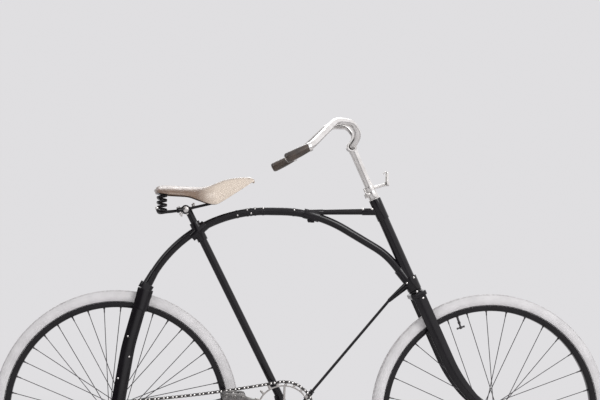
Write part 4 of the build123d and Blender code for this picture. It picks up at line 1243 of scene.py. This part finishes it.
@dataclass
class Backbone:
    """The brazed frame with its lugs, bolts, clips, rods, stays and step; sizes in millimetres."""

    body: str = "frame"
    stay_bolts: Sequence[Spot] = ((766.0, 1026.5), (795.0, 1028.0))
    head_bolts: Sequence[tuple[Spot, float, float]] = (((929.0, 813.0), 21.0, 3.8), ((908.0, 795.0), 19.0, 3.6))
    fork_eyelets: Sequence[tuple[Spot, float]] = (
        ((5.0, 493.0), 69.5), ((38.5, 559.0), 64.6), ((33.0, 622.0), 59.5),
    )
    clip_rows: Sequence[tuple[float, float, float, float]] = (
        (368.0, 1005.3, 13.1, -16.0), (400.0, 1011.4, 8.6, 34.0), (411.0, 1012.9, 7.0, -20.0),
        (424.0, 1014.3, 5.2, 38.0), (449.7, 1015.8, 1.6, 42.0), (547.0, 1014.3, -5.3, 31.0),
    )
    junction_nut: Spot = (595.5, 995.4)
    cap_angle: float = 35.0
    rod_ends: tuple[Spot, Spot] = ((553.0, 377.5), (902.0, 796.3))
    adjuster: Spot = (603.0, 437.5)
    fork_end_y: float = 68.5
    tubes: Sequence[str] = (
        "arch_tube", "top_stay", "head_tube", "seat_tube", "tie_rod", "lower_stay_right", "lower_stay_left",
        "rear_fork_right", "rear_fork_left", "seat_pillar",
    )
    lugs: Sequence[tuple[str, float]] = (
        ("rear_crown", 3.0), ("junction_lug", 1.2), ("head_lug_top", 1.0), ("head_lug_bottom", 1.0),
        ("seat_lug", 1.2), ("bottom_bracket_shell", 1.0),
    )

    def bolts(self) -> bpy.types.Object:
        """Set the bright bolt heads, screws and eyelets on the lugs and rear fork."""
        parts = []
        for side in Side:
            out = ACROSS * side.value
            for spot in self.stay_bolts:
                parts.append(dome(at(spot, side.value * 6.0), out + UP * 0.9, 5.2, 5.2))
            for spot, y, radius in self.head_bolts:
                parts.append(dome(at(spot, side.value * y), out, radius, 3.0))
            for spot, y in self.fork_eyelets:
                parts.append(dome(at(spot, side.value * y), out, 3.2, 2.4))
        return together(parts)

    def clips(self) -> tuple[bpy.types.Object, bpy.types.Object]:
        """Make the enamelled bands round the backbone and their bright screws, and the junction's nut.

        Returns:
            The bands with the nut, and the screws.
        """
        bands, screws = [], []
        for x, z, lean, turn in self.clip_rows:
            along = Vector((cos(radians(lean)), 0.0, sin(radians(lean))))
            up = Vector((-along.z, 0.0, along.x))
            middle = at((x, z))
            bands.append(lathe(
                middle, along,
                ((-3.2, 12.5), (-3.2, 13.2), (-2.7, 13.6), (2.7, 13.6), (3.2, 13.2), (3.2, 12.5)),
                32, closed=True,
            ))
            for sign in (-1, 1):
                out = (up * sin(radians(turn)) + ACROSS * sign * cos(radians(turn))).normalized()
                screws.append(dome(middle + out * 0.0132, out, 3.1, 3.0))
        under = at(self.junction_nut)
        bands += [nut(under, -UP, 6.6, 9.4), dome(under - UP * 0.0092, -UP, 4.6, 4.2)]
        return together(bands), together(screws)

    def head_rings(self) -> tuple[bpy.types.Object, bpy.types.Object]:
        """Turn the enamelled bearing cup under the head and the bright adjusting ring on top of it."""
        low = lathe(
            at(STEERING_FOOT), STEERING_UP,
            ((6.4, 14.0), (6.4, 20.4), (7.2, 21.2), (11.4, 21.2), (13.6, 19.6), (14.2, 17.2), (14.2, 14.0)),
            44, closed=True,
        )
        high = lathe(
            at(steering_spot(HEAD_HIGH)), STEERING_UP,
            ((-0.6, 13.2), (-0.6, 18.4), (0.2, 19.2), (2.8, 19.2), (3.6, 18.4), (3.6, 13.2)),
            44, closed=True,
        )
        return low, high

    def bracket_rings(self) -> bpy.types.Object:
        """Turn the bottom bracket's lock rings and its oil cap."""
        parts = []
        for side in Side:
            sign = side.value
            parts.append(lathe(
                at(BOTTOM_BRACKET), ACROSS,
                [(sign * length, radius) for length, radius in (
                    (36.6, 8.4), (36.6, 25.0), (37.4, 25.8), (40.4, 25.8), (41.2, 25.0), (41.2, 14.0),
                    (43.4, 13.4), (43.8, 12.0), (43.8, 8.4))],
                40, closed=True,
            ))
        cap_out = (at(turned(BOTTOM_BRACKET, 30.0, self.cap_angle)) - at(BOTTOM_BRACKET)).normalized()
        parts.append(lathe(
            at(turned(BOTTOM_BRACKET, 23.0, self.cap_angle)), cap_out,
            ((0.0, 0.0), (0.0, 4.6), (2.4, 4.6), (3.0, 3.4), (4.6, 3.4), (5.4, 2.6), (5.4, 0.0)), 20,
        ))
        return together(parts)

    def rod_fittings(self) -> bpy.types.Object:
        """Model the tie rod's adjusting nut and its lock nuts near the bottom bracket."""
        foot, head = (at(spot) for spot in self.rod_ends)
        along = (head - foot).normalized()
        middle = at(self.adjuster)
        sleeve = lathe(
            middle, along,
            ((-13.0, 4.4), (-13.0, 6.0), (-11.0, 8.0), (11.0, 8.0), (13.0, 6.0), (13.0, 4.4)), 24, closed=True,
        )
        locks = [nut(middle + out * 0.0134, out, 8.0, 5.0) for out in (along, -along)]
        return together([sleeve, *locks])

    def adjusters(self) -> bpy.types.Object:
        """Model the screws that draw the rear axle back in its fork ends."""
        parts = []
        for side in Side:
            y = side.value * self.fork_end_y
            parts.append(rod(at((-12.0, 381.0), y), at((-34.0, 381.0), y), 3.0, sides=16, rounding=0.6))
            parts.append(nut(at((-19.5, 381.0), y), Vector((-1.0, 0.0, 0.0)), 5.6, 4.4))
        return together(parts)

    def step(self) -> bpy.types.Object:
        """Turn the mounting step with its ringed tread and rounded end."""
        line = [(81.5, 5.0), (81.5, 8.5)]
        for number in range(8):
            start = 98.0 + number * 3.6
            line += [(start, 8.5), (start + 0.9, 7.5), (start + 1.8, 7.5), (start + 2.7, 8.5)]
        line += [(126.6, 8.5), (128.0, 7.3), (128.0, 0.0), (90.0, 0.0), (90.0, 5.0)]
        return lathe(at(REAR_AXLE), ACROSS, line, 32, closed=True)

    def build(self, wardrobe: Wardrobe) -> None:
        """Build and dress the whole frame."""
        for node in self.tubes:
            wardrobe.carry(node, Coat.ENAMEL)
        for node, rounding in self.lugs:
            wardrobe.dress(dressed_copy(node, rounding), f"{node}_brazed", self.body, Coat.ENAMEL, [node])
        wardrobe.dress(self.bolts(), "frame_bolts", self.body, Coat.NICKEL)
        bands, screws = self.clips()
        wardrobe.dress(bands, "backbone_clips", self.body, Coat.ENAMEL)
        wardrobe.dress(screws, "backbone_clip_screws", self.body, Coat.NICKEL)
        cup, ring = self.head_rings()
        wardrobe.dress(cup, "head_cup", self.body, Coat.ENAMEL)
        wardrobe.dress(ring, "head_adjusting_ring", self.body, Coat.NICKEL)
        wardrobe.dress(self.bracket_rings(), "bracket_rings", self.body, Coat.TARNISHED)
        wardrobe.dress(self.rod_fittings(), "tie_rod_adjuster", self.body, Coat.ENAMEL)
        wardrobe.dress(self.adjusters(), "axle_adjusters", self.body, Coat.TARNISHED)
        wardrobe.dress(self.step(), "mounting_step_turned", self.body, Coat.TARNISHED, ["mounting_step"])


@dataclass(frozen=True)
class SaddleRow:
    """One section across the saddle: where it is, its half width and how far its sides hang, in millimetres."""

    x: float
    top: float
    half: float
    hang: float


@dataclass
class Saddle:
    """The slung leather saddle with its rivets, frame wires, coil springs and clip; sizes in millimetres."""

    rows: Sequence[SaddleRow] = (
        SaddleRow(111.5, 1065.0, 90.0, 0.5),
        SaddleRow(109.6, 1074.0, 92.0, 9.0),
        SaddleRow(114.5, 1085.0, 94.0, 20.5),
        SaddleRow(128.0, 1090.5, 95.5, 27.0),
        SaddleRow(152.0, 1091.6, 93.0, 30.0),
        SaddleRow(187.0, 1090.3, 83.0, 30.5),
        SaddleRow(218.0, 1089.0, 70.0, 32.0),
        SaddleRow(249.0, 1088.4, 55.0, 42.0),
        SaddleRow(279.0, 1093.0, 41.5, 56.5),
        SaddleRow(303.0, 1102.5, 34.0, 67.0),
        SaddleRow(326.0, 1111.5, 31.0, 64.0),
        SaddleRow(357.0, 1118.6, 27.5, 51.0),
        SaddleRow(390.0, 1121.4, 24.0, 32.0),
        SaddleRow(410.0, 1120.6, 21.5, 17.0),
        SaddleRow(419.5, 1116.0, 19.0, 9.0),
        SaddleRow(421.0, 1107.0, 17.0, 3.0),
    )
    fine_rows: int = 90
    columns: int = 44
    leather: float = 4.4
    rear_bow: float = 13.0
    coil: Spot = (132.0, 1012.0)
    coil_y: float = 58.0
    coil_low: float = 1015.0
    coil_high: float = 1075.0
    coil_turns: int = 4
    clip_spot: Spot = (206.0, 1017.0)
    sleeve_ends: Sequence[tuple[Spot, float]] = (((216.0, 1019.0), 18.0), ((180.0, 1014.0), 33.0))
    pillar_bolt: Sequence[Spot] = ((222.0, 1009.0), (232.0, 1038.0), (229.0, 1029.5))
    nose_bar: Spot = (405.0, 1111.0)
    rear_rivets: Sequence[float] = (-74.0, -40.0, 0.0, 40.0, 74.0)
    rivet_half: float = 92.0
    nose_rivets: Spot = (404.0, 1119.4)
    clamp_bolts: Sequence[tuple[Spot, Spot, float]] = (
        ((183.4, 1021.0), (195.4, 995.6), 31.0), ((201.6, 1022.0), (212.4, 1001.6), 23.0),
    )
    wire_line: Sequence[tuple[Spot, float]] = (
        ((406.0, 1111.0), 9.0), ((384.0, 1097.0), 11.0), ((352.0, 1072.0), 17.0), ((322.0, 1049.0), 20.0),
        ((286.0, 1037.0), 20.0), ((244.0, 1027.0), 20.0), ((206.0, 1017.0), 20.0), ((183.0, 1013.0), 31.0),
        ((160.0, 1010.0), 47.0), ((144.0, 1008.6), 57.0), ((128.0, 1005.6), 66.0), ((119.0, 1008.0), 75.0),
        ((117.0, 1018.0), 77.0),
    )
    cantle_hook: Sequence[tuple[Spot, float]] = (
        ((126.0, 1065.0), 83.0), ((142.0, 1067.0), 81.0), ((154.0, 1071.0), 70.0), ((144.0, 1073.0), 58.0),
        ((122.0, 1071.0), 52.0),
    )
    body: str = "frame"

    def row_at(self, share: float) -> SaddleRow:
        """A row between the table's rows, on a smooth curve through them.

        Args:
            share: From 0 at the rear edge to 1 at the nose's lower edge.

        Returns:
            The row there.
        """
        place = share * (len(self.rows) - 1)
        number = min(int(place), len(self.rows) - 2)
        t = place - number
        around = [self.rows[min(max(number + step, 0), len(self.rows) - 1)] for step in (-1, 0, 1, 2)]

        def curve(label: str) -> float:
            """The smooth value of one column of the table."""
            a, b, c, d = (getattr(row, label) for row in around)
            return 0.5 * (2 * b + (c - a) * t + (2 * a - 5 * b + 4 * c - d) * t**2 + (3 * b - a - 3 * c + d) * t**3)

        return SaddleRow(curve("x"), curve("top"), curve("half"), curve("hang"))

    def top(self) -> bpy.types.Object:
        """Shape a grid into the slung leather, give it its thickness and round its cut edge."""
        rest()
        bpy.ops.mesh.primitive_grid_add(
            x_subdivisions=self.fine_rows, y_subdivisions=self.columns, size=2.0, location=(0, 0, 0)
        )
        piece = bpy.context.object
        for vertex in piece.data.vertices:
            row = self.row_at((vertex.co.x + 1.0) / 2.0)
            turn = vertex.co.y * pi / 2
            rear = max(0.0, 1.0 - (row.x - 108.0) / 60.0)
            bow = self.rear_bow * rear * vertex.co.y**2
            vertex.co = at((row.x + bow, row.top - row.hang * (1.0 - cos(turn))), row.half * sin(turn))
        heal(piece, 1e-6)
        finish_with(piece, "SOLIDIFY", thickness=self.leather / 1000, offset=-1.0, use_even_offset=True)
        return round_edges(piece, 0.0014, 3, 50.0)

    def rivets(self) -> bpy.types.Object:
        """Set the domed rivets along the rear edge and at the nose."""
        parts = []
        for y in self.rear_rivets:
            x = 109.8 + self.rear_bow * (y / self.rivet_half) ** 2
            drop = 9.0 * (1.0 - cos(asin(y / self.rivet_half)))
            parts.append(dome(at((x, 1076.0 - drop), y), Vector((-1.0, y / 400.0, 0.2)), 5.4, 2.6))
        for y in (-9.0, 9.0):
            parts.append(dome(at(self.nose_rivets, y), Vector((0.0, y / 60.0, 1.0)), 4.2, 2.0))
        return together(parts)

    def springs(self) -> bpy.types.Object:
        """Wind the two coils and bend the wires that carry them and the nose."""
        parts = []
        for side in Side:
            sign = side.value
            rest()
            middle = at((self.coil[0], self.coil_low), sign * self.coil_y)
            bpy.ops.mesh.primitive_circle_add(
                vertices=12, radius=0.0028, location=middle + Vector((0.0141, 0, 0)), rotation=(pi / 2, 0, 0)
            )
            coil = settle(bpy.context.object)
            coil.data.transform(Matrix.Translation(-middle))
            finish_with(
                coil, "SCREW", angle=tau, screw_offset=(self.coil_high - self.coil_low) / 1000 / self.coil_turns,
                iterations=self.coil_turns, steps=28, render_steps=28, axis="Z",
            )
            coil.data.transform(Matrix.Translation(middle))
            parts.append(heal(coil, 1e-6))
            for z in (self.coil_low - 5.2, self.coil_high + 1.4):
                seat = at((self.coil[0], z), sign * self.coil_y)
                parts.append(rod(seat, seat + UP * 0.0036, 16.6, sides=32, rounding=0.9))
            parts.append(wire([at(spot, sign * y) for spot, y in self.wire_line], 4.0))
        parts.append(rod(at(self.coil, -self.coil_y), at(self.coil, self.coil_y), 4.6, sides=20))
        cantle = [
            at((126.0 - 12.0 * cos(share * pi / 2) ** 2, 1070.0 - 5.0 * share**2), 83.0 * share)
            for share in (-1.0, -0.7, -0.35, 0.0, 0.35, 0.7, 1.0)
        ]
        parts.append(wire(cantle, 4.2))
        for side in Side:
            parts.append(wire([at(spot, side.value * y) for spot, y in self.cantle_hook], 3.4))
        parts.append(rod(at(self.nose_bar, -13.0), at(self.nose_bar, 13.0), 4.6, sides=20, rounding=1.0))
        return together(parts)

    def clip(self) -> bpy.types.Object:
        """Model the clip that grips the pillar and, in a sleeve on each side, the two wires."""
        body = lathe(
            at(self.clip_spot), ACROSS,
            ((-29.0, 6.0), (-29.0, 12.6), (-27.6, 14.0), (-16.0, 14.0), (-14.0, 12.0), (14.0, 12.0), (16.0, 14.0),
             (27.6, 14.0), (29.0, 12.6), (29.0, 6.0)), 36, closed=True,
        )
        parts = [body]
        for side in Side:
            front, rear = (at(spot, side.value * y) for spot, y in self.sleeve_ends)
            parts.append(rod(front, rear, 7.8, sides=28, rounding=1.6))
        return together(parts)

    def clip_bolts(self) -> bpy.types.Object:
        """Make the clip's bright bolts: one across it, two down each side and one up behind the pillar."""
        parts = [rod(at(self.clip_spot, -35.0), at(self.clip_spot, 35.0), 4.6, sides=20, rounding=1.0)]
        for side in Side:
            sign = side.value
            out = ACROSS * sign
            inner, outer = at(self.clip_spot, sign * 28.8), at(self.clip_spot, sign * 30.2)
            parts.append(rod(inner, outer, 9.6, sides=28, rounding=0.4))
            parts.append(nut(at(self.clip_spot, sign * 30.0), out, 8.0, 5.4))
            parts.append(dome(at((117.0, 1019.0), sign * 77.0), UP, 5.6, 5.0))
            for top, foot, y in self.clamp_bolts:
                head, end = at(top, sign * y), at(foot, sign * y)
                parts.append(rod(head, end, 3.3, sides=18, rounding=0.8))
                parts.append(nut(head + (head - end).normalized() * 0.0006, head - end, 5.4, 3.4))
                parts.append(nut(end + (head - end) * 0.36, end - head, 5.6, 4.0))
        foot, head, place = (at(spot) for spot in self.pillar_bolt)
        parts.append(rod(foot, head, 3.3, sides=16, rounding=0.8))
        parts.append(nut(place, Vector((0.33, 0.0, 1.0)), 6.0, 4.4))
        return together(parts)

    def build(self, wardrobe: Wardrobe) -> None:
        """Build and dress the saddle."""
        wardrobe.dress(self.top(), "saddle_top_leather", self.body, Coat.HIDE, ["saddle_leather"], 60.0)
        wardrobe.dress(self.rivets(), "saddle_rivets", self.body, Coat.NICKEL)
        wardrobe.dress(self.springs(), "saddle_coils_and_wires", self.body, Coat.ENAMEL, ["saddle_springs"])
        wardrobe.dress(self.clip(), "saddle_clip_steel", self.body, Coat.ENAMEL, ["saddle_clip"])
        wardrobe.dress(self.clip_bolts(), "saddle_clip_bolts", self.body, Coat.NICKEL)


@dataclass
class Steering:
    """The fork, stem, handlebar, grips, clamp and lamp bracket; sizes in millimetres."""

    body: str = "steering"
    bar: Sequence[tuple[Spot, float]] = (
        (steering_spot(STEM_HIGH), 20.0), ((746.0, 1260.0), 40.0), ((722.0, 1294.0), 62.0),
        ((666.0, 1298.0), 104.0), ((570.0, 1204.0), 276.0), ((500.0, 1168.0), 281.0),
    )
    bar_bends: Sequence[float] = (20.0, 42.0, 44.0, 85.0, 56.0)
    blade_start: Spot = (1172.6, 389.0)
    blade_corner: Spot = (1082.0, 459.4)
    blade_bend: float = 440.0
    blade_sides: tuple[float, float] = (52.0, 40.0)
    blade_halves: Sequence[tuple[float, float, float]] = (
        (0.0, 5.4, 12.2), (0.08, 6.4, 14.6), (0.2, 7.5, 17.0), (0.3, 7.5, 18.25), (0.4, 7.5, 19.1),
        (0.5, 7.5, 19.65), (0.75, 7.5, 20.3), (1.0, 7.5, 20.5),
    )
    eye_sides: tuple[float, float] = (46.0, 57.0)
    crown_heads: Sequence[tuple[Spot, float]] = (((935.0, 770.0), 51.6), ((955.0, 749.5), 48.0))
    catch: Sequence[Spot] = ((842.0, 1141.0), (842.0, 1145.0), (838.0, 1147.0), (831.0, 1142.5), (829.0, 1139.0))

    def blade(self, side: Side) -> bpy.types.Object:
        """Shape one fork blade, curved at its foot and straight above, with the eye that holds the axle."""
        foot, head = self.blade_sides
        lean = (head - foot) / (STEERING_FOOT[1] - FRONT_AXLE[1])
        corners = [
            at(spot, side.value * (foot + lean * (spot[1] - FRONT_AXLE[1])))
            for spot in (self.blade_start, self.blade_corner, STEERING_FOOT)
        ]
        line = rounded(corners, [self.blade_bend], 28)
        lengths = [0.0]
        for before, after in zip(line, line[1:]):
            lengths.append(lengths[-1] + (after - before).length)
        halves = []
        for length in lengths:
            share = length / lengths[-1]
            number = max(step for step, row in enumerate(self.blade_halves[:-1]) if row[0] <= share)
            low, high = self.blade_halves[number], self.blade_halves[number + 1]
            part = (share - low[0]) / (high[0] - low[0])
            halves.append((low[1] + (high[1] - low[1]) * part, low[2] + (high[2] - low[2]) * part))
        inner, outer = (at(FRONT_AXLE, side.value * y) for y in self.eye_sides)
        eye = rod(inner, outer, 15.0, sides=40, rounding=1.4)
        return together([oval_bar(line, halves), eye])

    def handlebar(self) -> bpy.types.Object:
        """Bend the handlebar from one grip through the stem's socket to the other."""
        right = [at(spot, -out) for spot, out in reversed(self.bar)]
        left = [at(spot, out) for spot, out in self.bar]
        return wire(rounded([*right, *left], [*reversed(self.bar_bends), *self.bar_bends]), 11.0, 2, 8)

    def crown_bolts(self) -> bpy.types.Object:
        """Set the bolt heads on the fork crown and its blades' sockets."""
        parts = []
        for side in Side:
            out = ACROSS * side.value
            for spot, y in self.crown_heads:
                parts.append(dome(at(spot, side.value * y), out, 3.8, 2.8))
        return together(parts)

    def stem(self) -> bpy.types.Object:
        """Turn the plated stem with the cross socket that holds the bar."""
        length = (at(steering_spot(STEM_HIGH)) - at(steering_spot(STEM_FOOT))).length * 1000
        upright = lathe(
            at(steering_spot(STEM_FOOT)), STEERING_UP,
            ((0.0, 0.0), (0.0, 12.7), (length - 22.0, 12.7), (length - 19.0, 13.4), (length - 12.0, 13.7),
             (length, 13.0), (length + 4.0, 10.0), (length + 4.0, 0.0)), 40,
        )
        socket = lathe(
            at(steering_spot(STEM_HIGH)), ACROSS,
            ((-21.0, 10.9), (-21.0, 14.8), (-19.8, 16.0), (19.8, 16.0), (21.0, 14.8), (21.0, 10.9)),
            40, closed=True,
        )
        return together([upright, socket])

    def grip(self, side: Side) -> tuple[bpy.types.Object, bpy.types.Object]:
        """Turn one grip and its two bright ferrules."""
        bend, end = (at(spot, side.value * out) for spot, out in self.bar[-2:])
        along = (bend - end).normalized()
        line = [(-4.0, 0.0), (-4.0, 9.0), (-2.6, 12.6), (1.0, 14.6), (6.0, 15.3)]
        line += [
            (6.0 + 64.0 * share, 15.3 - 2.6 * share + 1.1 * sin(pi * share))
            for share in (0.15, 0.3, 0.45, 0.6, 0.75, 0.9, 1.0)
        ]
        line += [(74.0, 12.2), (74.0, 0.0)]
        handle = lathe(end, along, line, 40)
        ferrule = lathe(
            end, along,
            ((72.0, 11.0), (72.0, 13.2), (73.0, 13.9), (80.6, 13.6), (82.0, 12.6), (82.0, 11.0)),
            40, closed=True,
        )
        knob = lathe(end, -along, ((1.4, 0.0), (1.4, 8.8), (3.0, 8.4), (4.6, 5.4), (5.0, 0.0)), 32)
        return handle, together([ferrule, knob])

    def lamp_hook(self) -> bpy.types.Object:
        """Bend the small catch at the top of the lamp bracket."""
        return wire([at(spot) for spot in self.catch], 1.7)

    def build(self, wardrobe: Wardrobe) -> None:
        """Build and dress everything that turns with the fork."""
        for side in Side:
            node = f"fork_blade_{side.word}"
            wardrobe.dress(self.blade(side), f"{node}_oval", self.body, Coat.ENAMEL, [node])
        wardrobe.dress(
            dressed_copy("fork_crown", 3.0), "fork_crown_forging", self.body, Coat.ENAMEL, ["fork_crown"]
        )
        wardrobe.dress(self.crown_bolts(), "fork_crown_bolts", self.body, Coat.NICKEL)
        wardrobe.dress(self.stem(), "stem_plated", self.body, Coat.NICKEL, ["stem"])
        wardrobe.dress(self.handlebar(), "handlebar_bent", self.body, Coat.NICKEL, ["handlebar"])
        for node, rounding in (("head_clamp", 0.8), ("lamp_bracket", 0.6)):
            wardrobe.dress(dressed_copy(node, rounding), f"{node}_plated", self.body, Coat.NICKEL, [node])
        wardrobe.dress(self.lamp_hook(), "lamp_bracket_catch", self.body, Coat.NICKEL)
        for side in Side:
            handle, ferrules = self.grip(side)
            wardrobe.dress(handle, f"grip_handle_{side.word}", self.body, Coat.HORN, [f"grip_{side.word}"])
            wardrobe.dress(ferrules, f"grip_ferrules_{side.word}", self.body, Coat.NICKEL)


@dataclass
class Studio:
    """The pale floor, the soft light and the camera at the photograph's place."""

    camera_at: tuple[float, float, float] = (-0.0331, -4.718, -0.179)
    yaw: float = 5.1
    roll: float = 0.8
    lens: float = 90.0
    shift: tuple[float, float] = (0.0, 0.075)
    floor: Colour = (0.8, 0.79, 0.8)
    backdrop: Colour = (0.93, 0.92, 0.94)
    paleness: float = 0.8
    soft_light: float = 0.5
    room_low: float = 0.05
    far_from: float = 2.2
    far_to: float = 4.6
    aim: tuple[float, float, float] = (0.42, 0.0, -0.5)
    lamps: Sequence[tuple[str, tuple[float, float, float], float, float]] = (
        ("key", (2.8, -3.4, 3.0), 2.4, 120.0),
        ("fill", (-3.2, -2.6, 2.2), 2.0, 30.0),
        ("rim", (0.6, 3.4, 2.6), 2.4, 60.0),
    )

    def camera(self) -> None:
        """Place the camera and make it the scene's own."""
        data = bpy.data.cameras.new("camera")
        data.lens, data.sensor_width = self.lens, 36.0
        data.shift_x, data.shift_y = self.shift
        data.clip_end = 200.0
        camera = bpy.data.objects.new("camera", data)
        bpy.context.scene.collection.objects.link(camera)
        yaw, roll = radians(self.yaw), radians(self.roll)
        ahead = Vector((sin(yaw), cos(yaw), 0.0))
        level = Vector((cos(yaw), -sin(yaw), 0.0))
        right = level * cos(roll) + UP * sin(roll)
        up = right.cross(ahead)
        camera.matrix_world = Matrix.Translation(self.camera_at) @ Matrix((right, up, -ahead)).transposed().to_4x4()
        bpy.context.scene.camera = camera

    def ground(self) -> None:
        """Lay the floor: plain and pale, shaded under the bicycle, and one with the backdrop far from it."""
        rest()
        bpy.ops.mesh.primitive_plane_add(size=80.0, location=(0.5, 0.0, GROUND))
        floor = settle(bpy.context.object)
        floor.name = "floor"
        material = bpy.data.materials.new("pale_floor")
        material.use_nodes = True
        sheet = Sheet(material.node_tree)
        shader = material.node_tree.nodes["Principled BSDF"]
        place = sheet.node("TexCoord").outputs["Object"]
        shade = tuple(part * 0.96 for part in self.floor)
        sheet.wire(sheet.blend(sheet.noise(place, 3.0, 6.0, 0.6), self.floor, shade), shader.inputs["Base Color"])
        shader.inputs["Roughness"].default_value = 0.9
        reach = sheet.node("VectorMath", operation="LENGTH")
        sheet.wire(place, reach.inputs[0])
        far = sheet.spread(reach.outputs["Value"], self.far_from, self.far_to, 0.0, 1.0)
        path = sheet.node("LightPath")
        seen = sheet.sums("MAXIMUM", path.outputs["Is Camera Ray"], path.outputs["Is Transmission Ray"])
        glow = sheet.node("Emission", Strength=self.paleness)
        glow.inputs["Color"].default_value = (*self.backdrop, 1.0)
        mix = sheet.node("MixShader")
        sheet.wire(sheet.sums("MULTIPLY", far, seen), mix.inputs[0])
        sheet.wire(shader.outputs[0], mix.inputs[1])
        sheet.wire(glow.outputs[0], mix.inputs[2])
        sheet.wire(mix.outputs[0], material.node_tree.nodes["Material Output"].inputs["Surface"])
        floor.data.materials.append(material)

    def world(self) -> None:
        """Fill the studio with soft light, show the camera a pale backdrop and give bright metal a room."""
        world = bpy.data.worlds.new("studio")
        bpy.context.scene.world = world
        world.use_nodes = True
        sheet = Sheet(world.node_tree)
        back = world.node_tree.nodes["Background"]
        path = sheet.node("LightPath")
        parts = sheet.node("SeparateXYZ")
        sheet.wire(sheet.node("TexCoord").outputs["Generated"], parts.inputs[0])
        overhead = sheet.spread(parts.outputs["Z"], 0.3, 0.75, 0.0, 1.0)
        window = sheet.spread(parts.outputs["X"], -0.28, 0.08, 0.0, 1.15)
        behind = sheet.spread(parts.outputs["Y"], 0.3, 0.75, 0.0, 0.9)
        walls = sheet.sums("MAXIMUM", sheet.sums("MAXIMUM", overhead, window), behind)
        room = sheet.sums("ADD", walls, self.room_low)
        plain = sheet.sums("MAXIMUM", path.outputs["Is Camera Ray"], path.outputs["Is Transmission Ray"])
        glossy = path.outputs["Is Glossy Ray"]
        soft = sheet.sums("SUBTRACT", 1.0, sheet.sums("MAXIMUM", plain, glossy))
        shown = sheet.sums("MULTIPLY", plain, self.paleness)
        strength = sheet.sums("ADD", shown, sheet.sums("MULTIPLY", soft, self.soft_light))
        sheet.wire(sheet.sums("ADD", strength, sheet.sums("MULTIPLY", room, glossy)), back.inputs["Strength"])
        back.inputs["Color"].default_value = (*self.backdrop, 1.0)

    def lamp(self, name: str, place: tuple[float, float, float], size: float, power: float) -> None:
        """Hang one soft square lamp that points at the bicycle's middle."""
        data = bpy.data.lights.new(name, "AREA")
        data.shape, data.size, data.energy = "SQUARE", size, power
        lamp = bpy.data.objects.new(name, data)
        bpy.context.scene.collection.objects.link(lamp)
        ahead = Vector(self.aim) - Vector(place)
        lamp.matrix_world = Matrix.Translation(place) @ ahead.to_track_quat("-Z", "Y").to_matrix().to_4x4()

    def build(self) -> None:
        """Set up the whole studio."""
        self.camera()
        self.ground()
        self.world()
        for name, place, size, power in self.lamps:
            self.lamp(name, place, size, power)
        bpy.context.scene.view_settings.view_transform = "Standard"


def main() -> None:
    """Build the bicycle and its studio."""
    logging.basicConfig(level=logging.INFO, format="%(message)s")
    wardrobe = Wardrobe()
    front = Wheel(
        name="front", axle=FRONT_AXLE, spokes=32, first_spoke=13.75, flange_y=30.0, hub_end=38.0, valve_angle=109.4,
        rubber=Coat.FRONT_RUBBER, body="front_wheel", axle_body="steering", nut_y=57.0, axle_end=68.0,
    )
    rear = Wheel(
        name="rear", axle=REAR_AXLE, spokes=40, first_spoke=7.5, flange_y=34.0, hub_end=58.0, valve_angle=249.0,
        rubber=Coat.REAR_RUBBER, body="rear_wheel", axle_body="frame", nut_y=72.5, axle_end=88.0,
    )
    for assembly in (front, rear, Drive(), Backbone(), Saddle(), Steering()):
        assembly.build(wardrobe)
    Studio().build()
    rest()


if __name__ == "__main__":
    main()
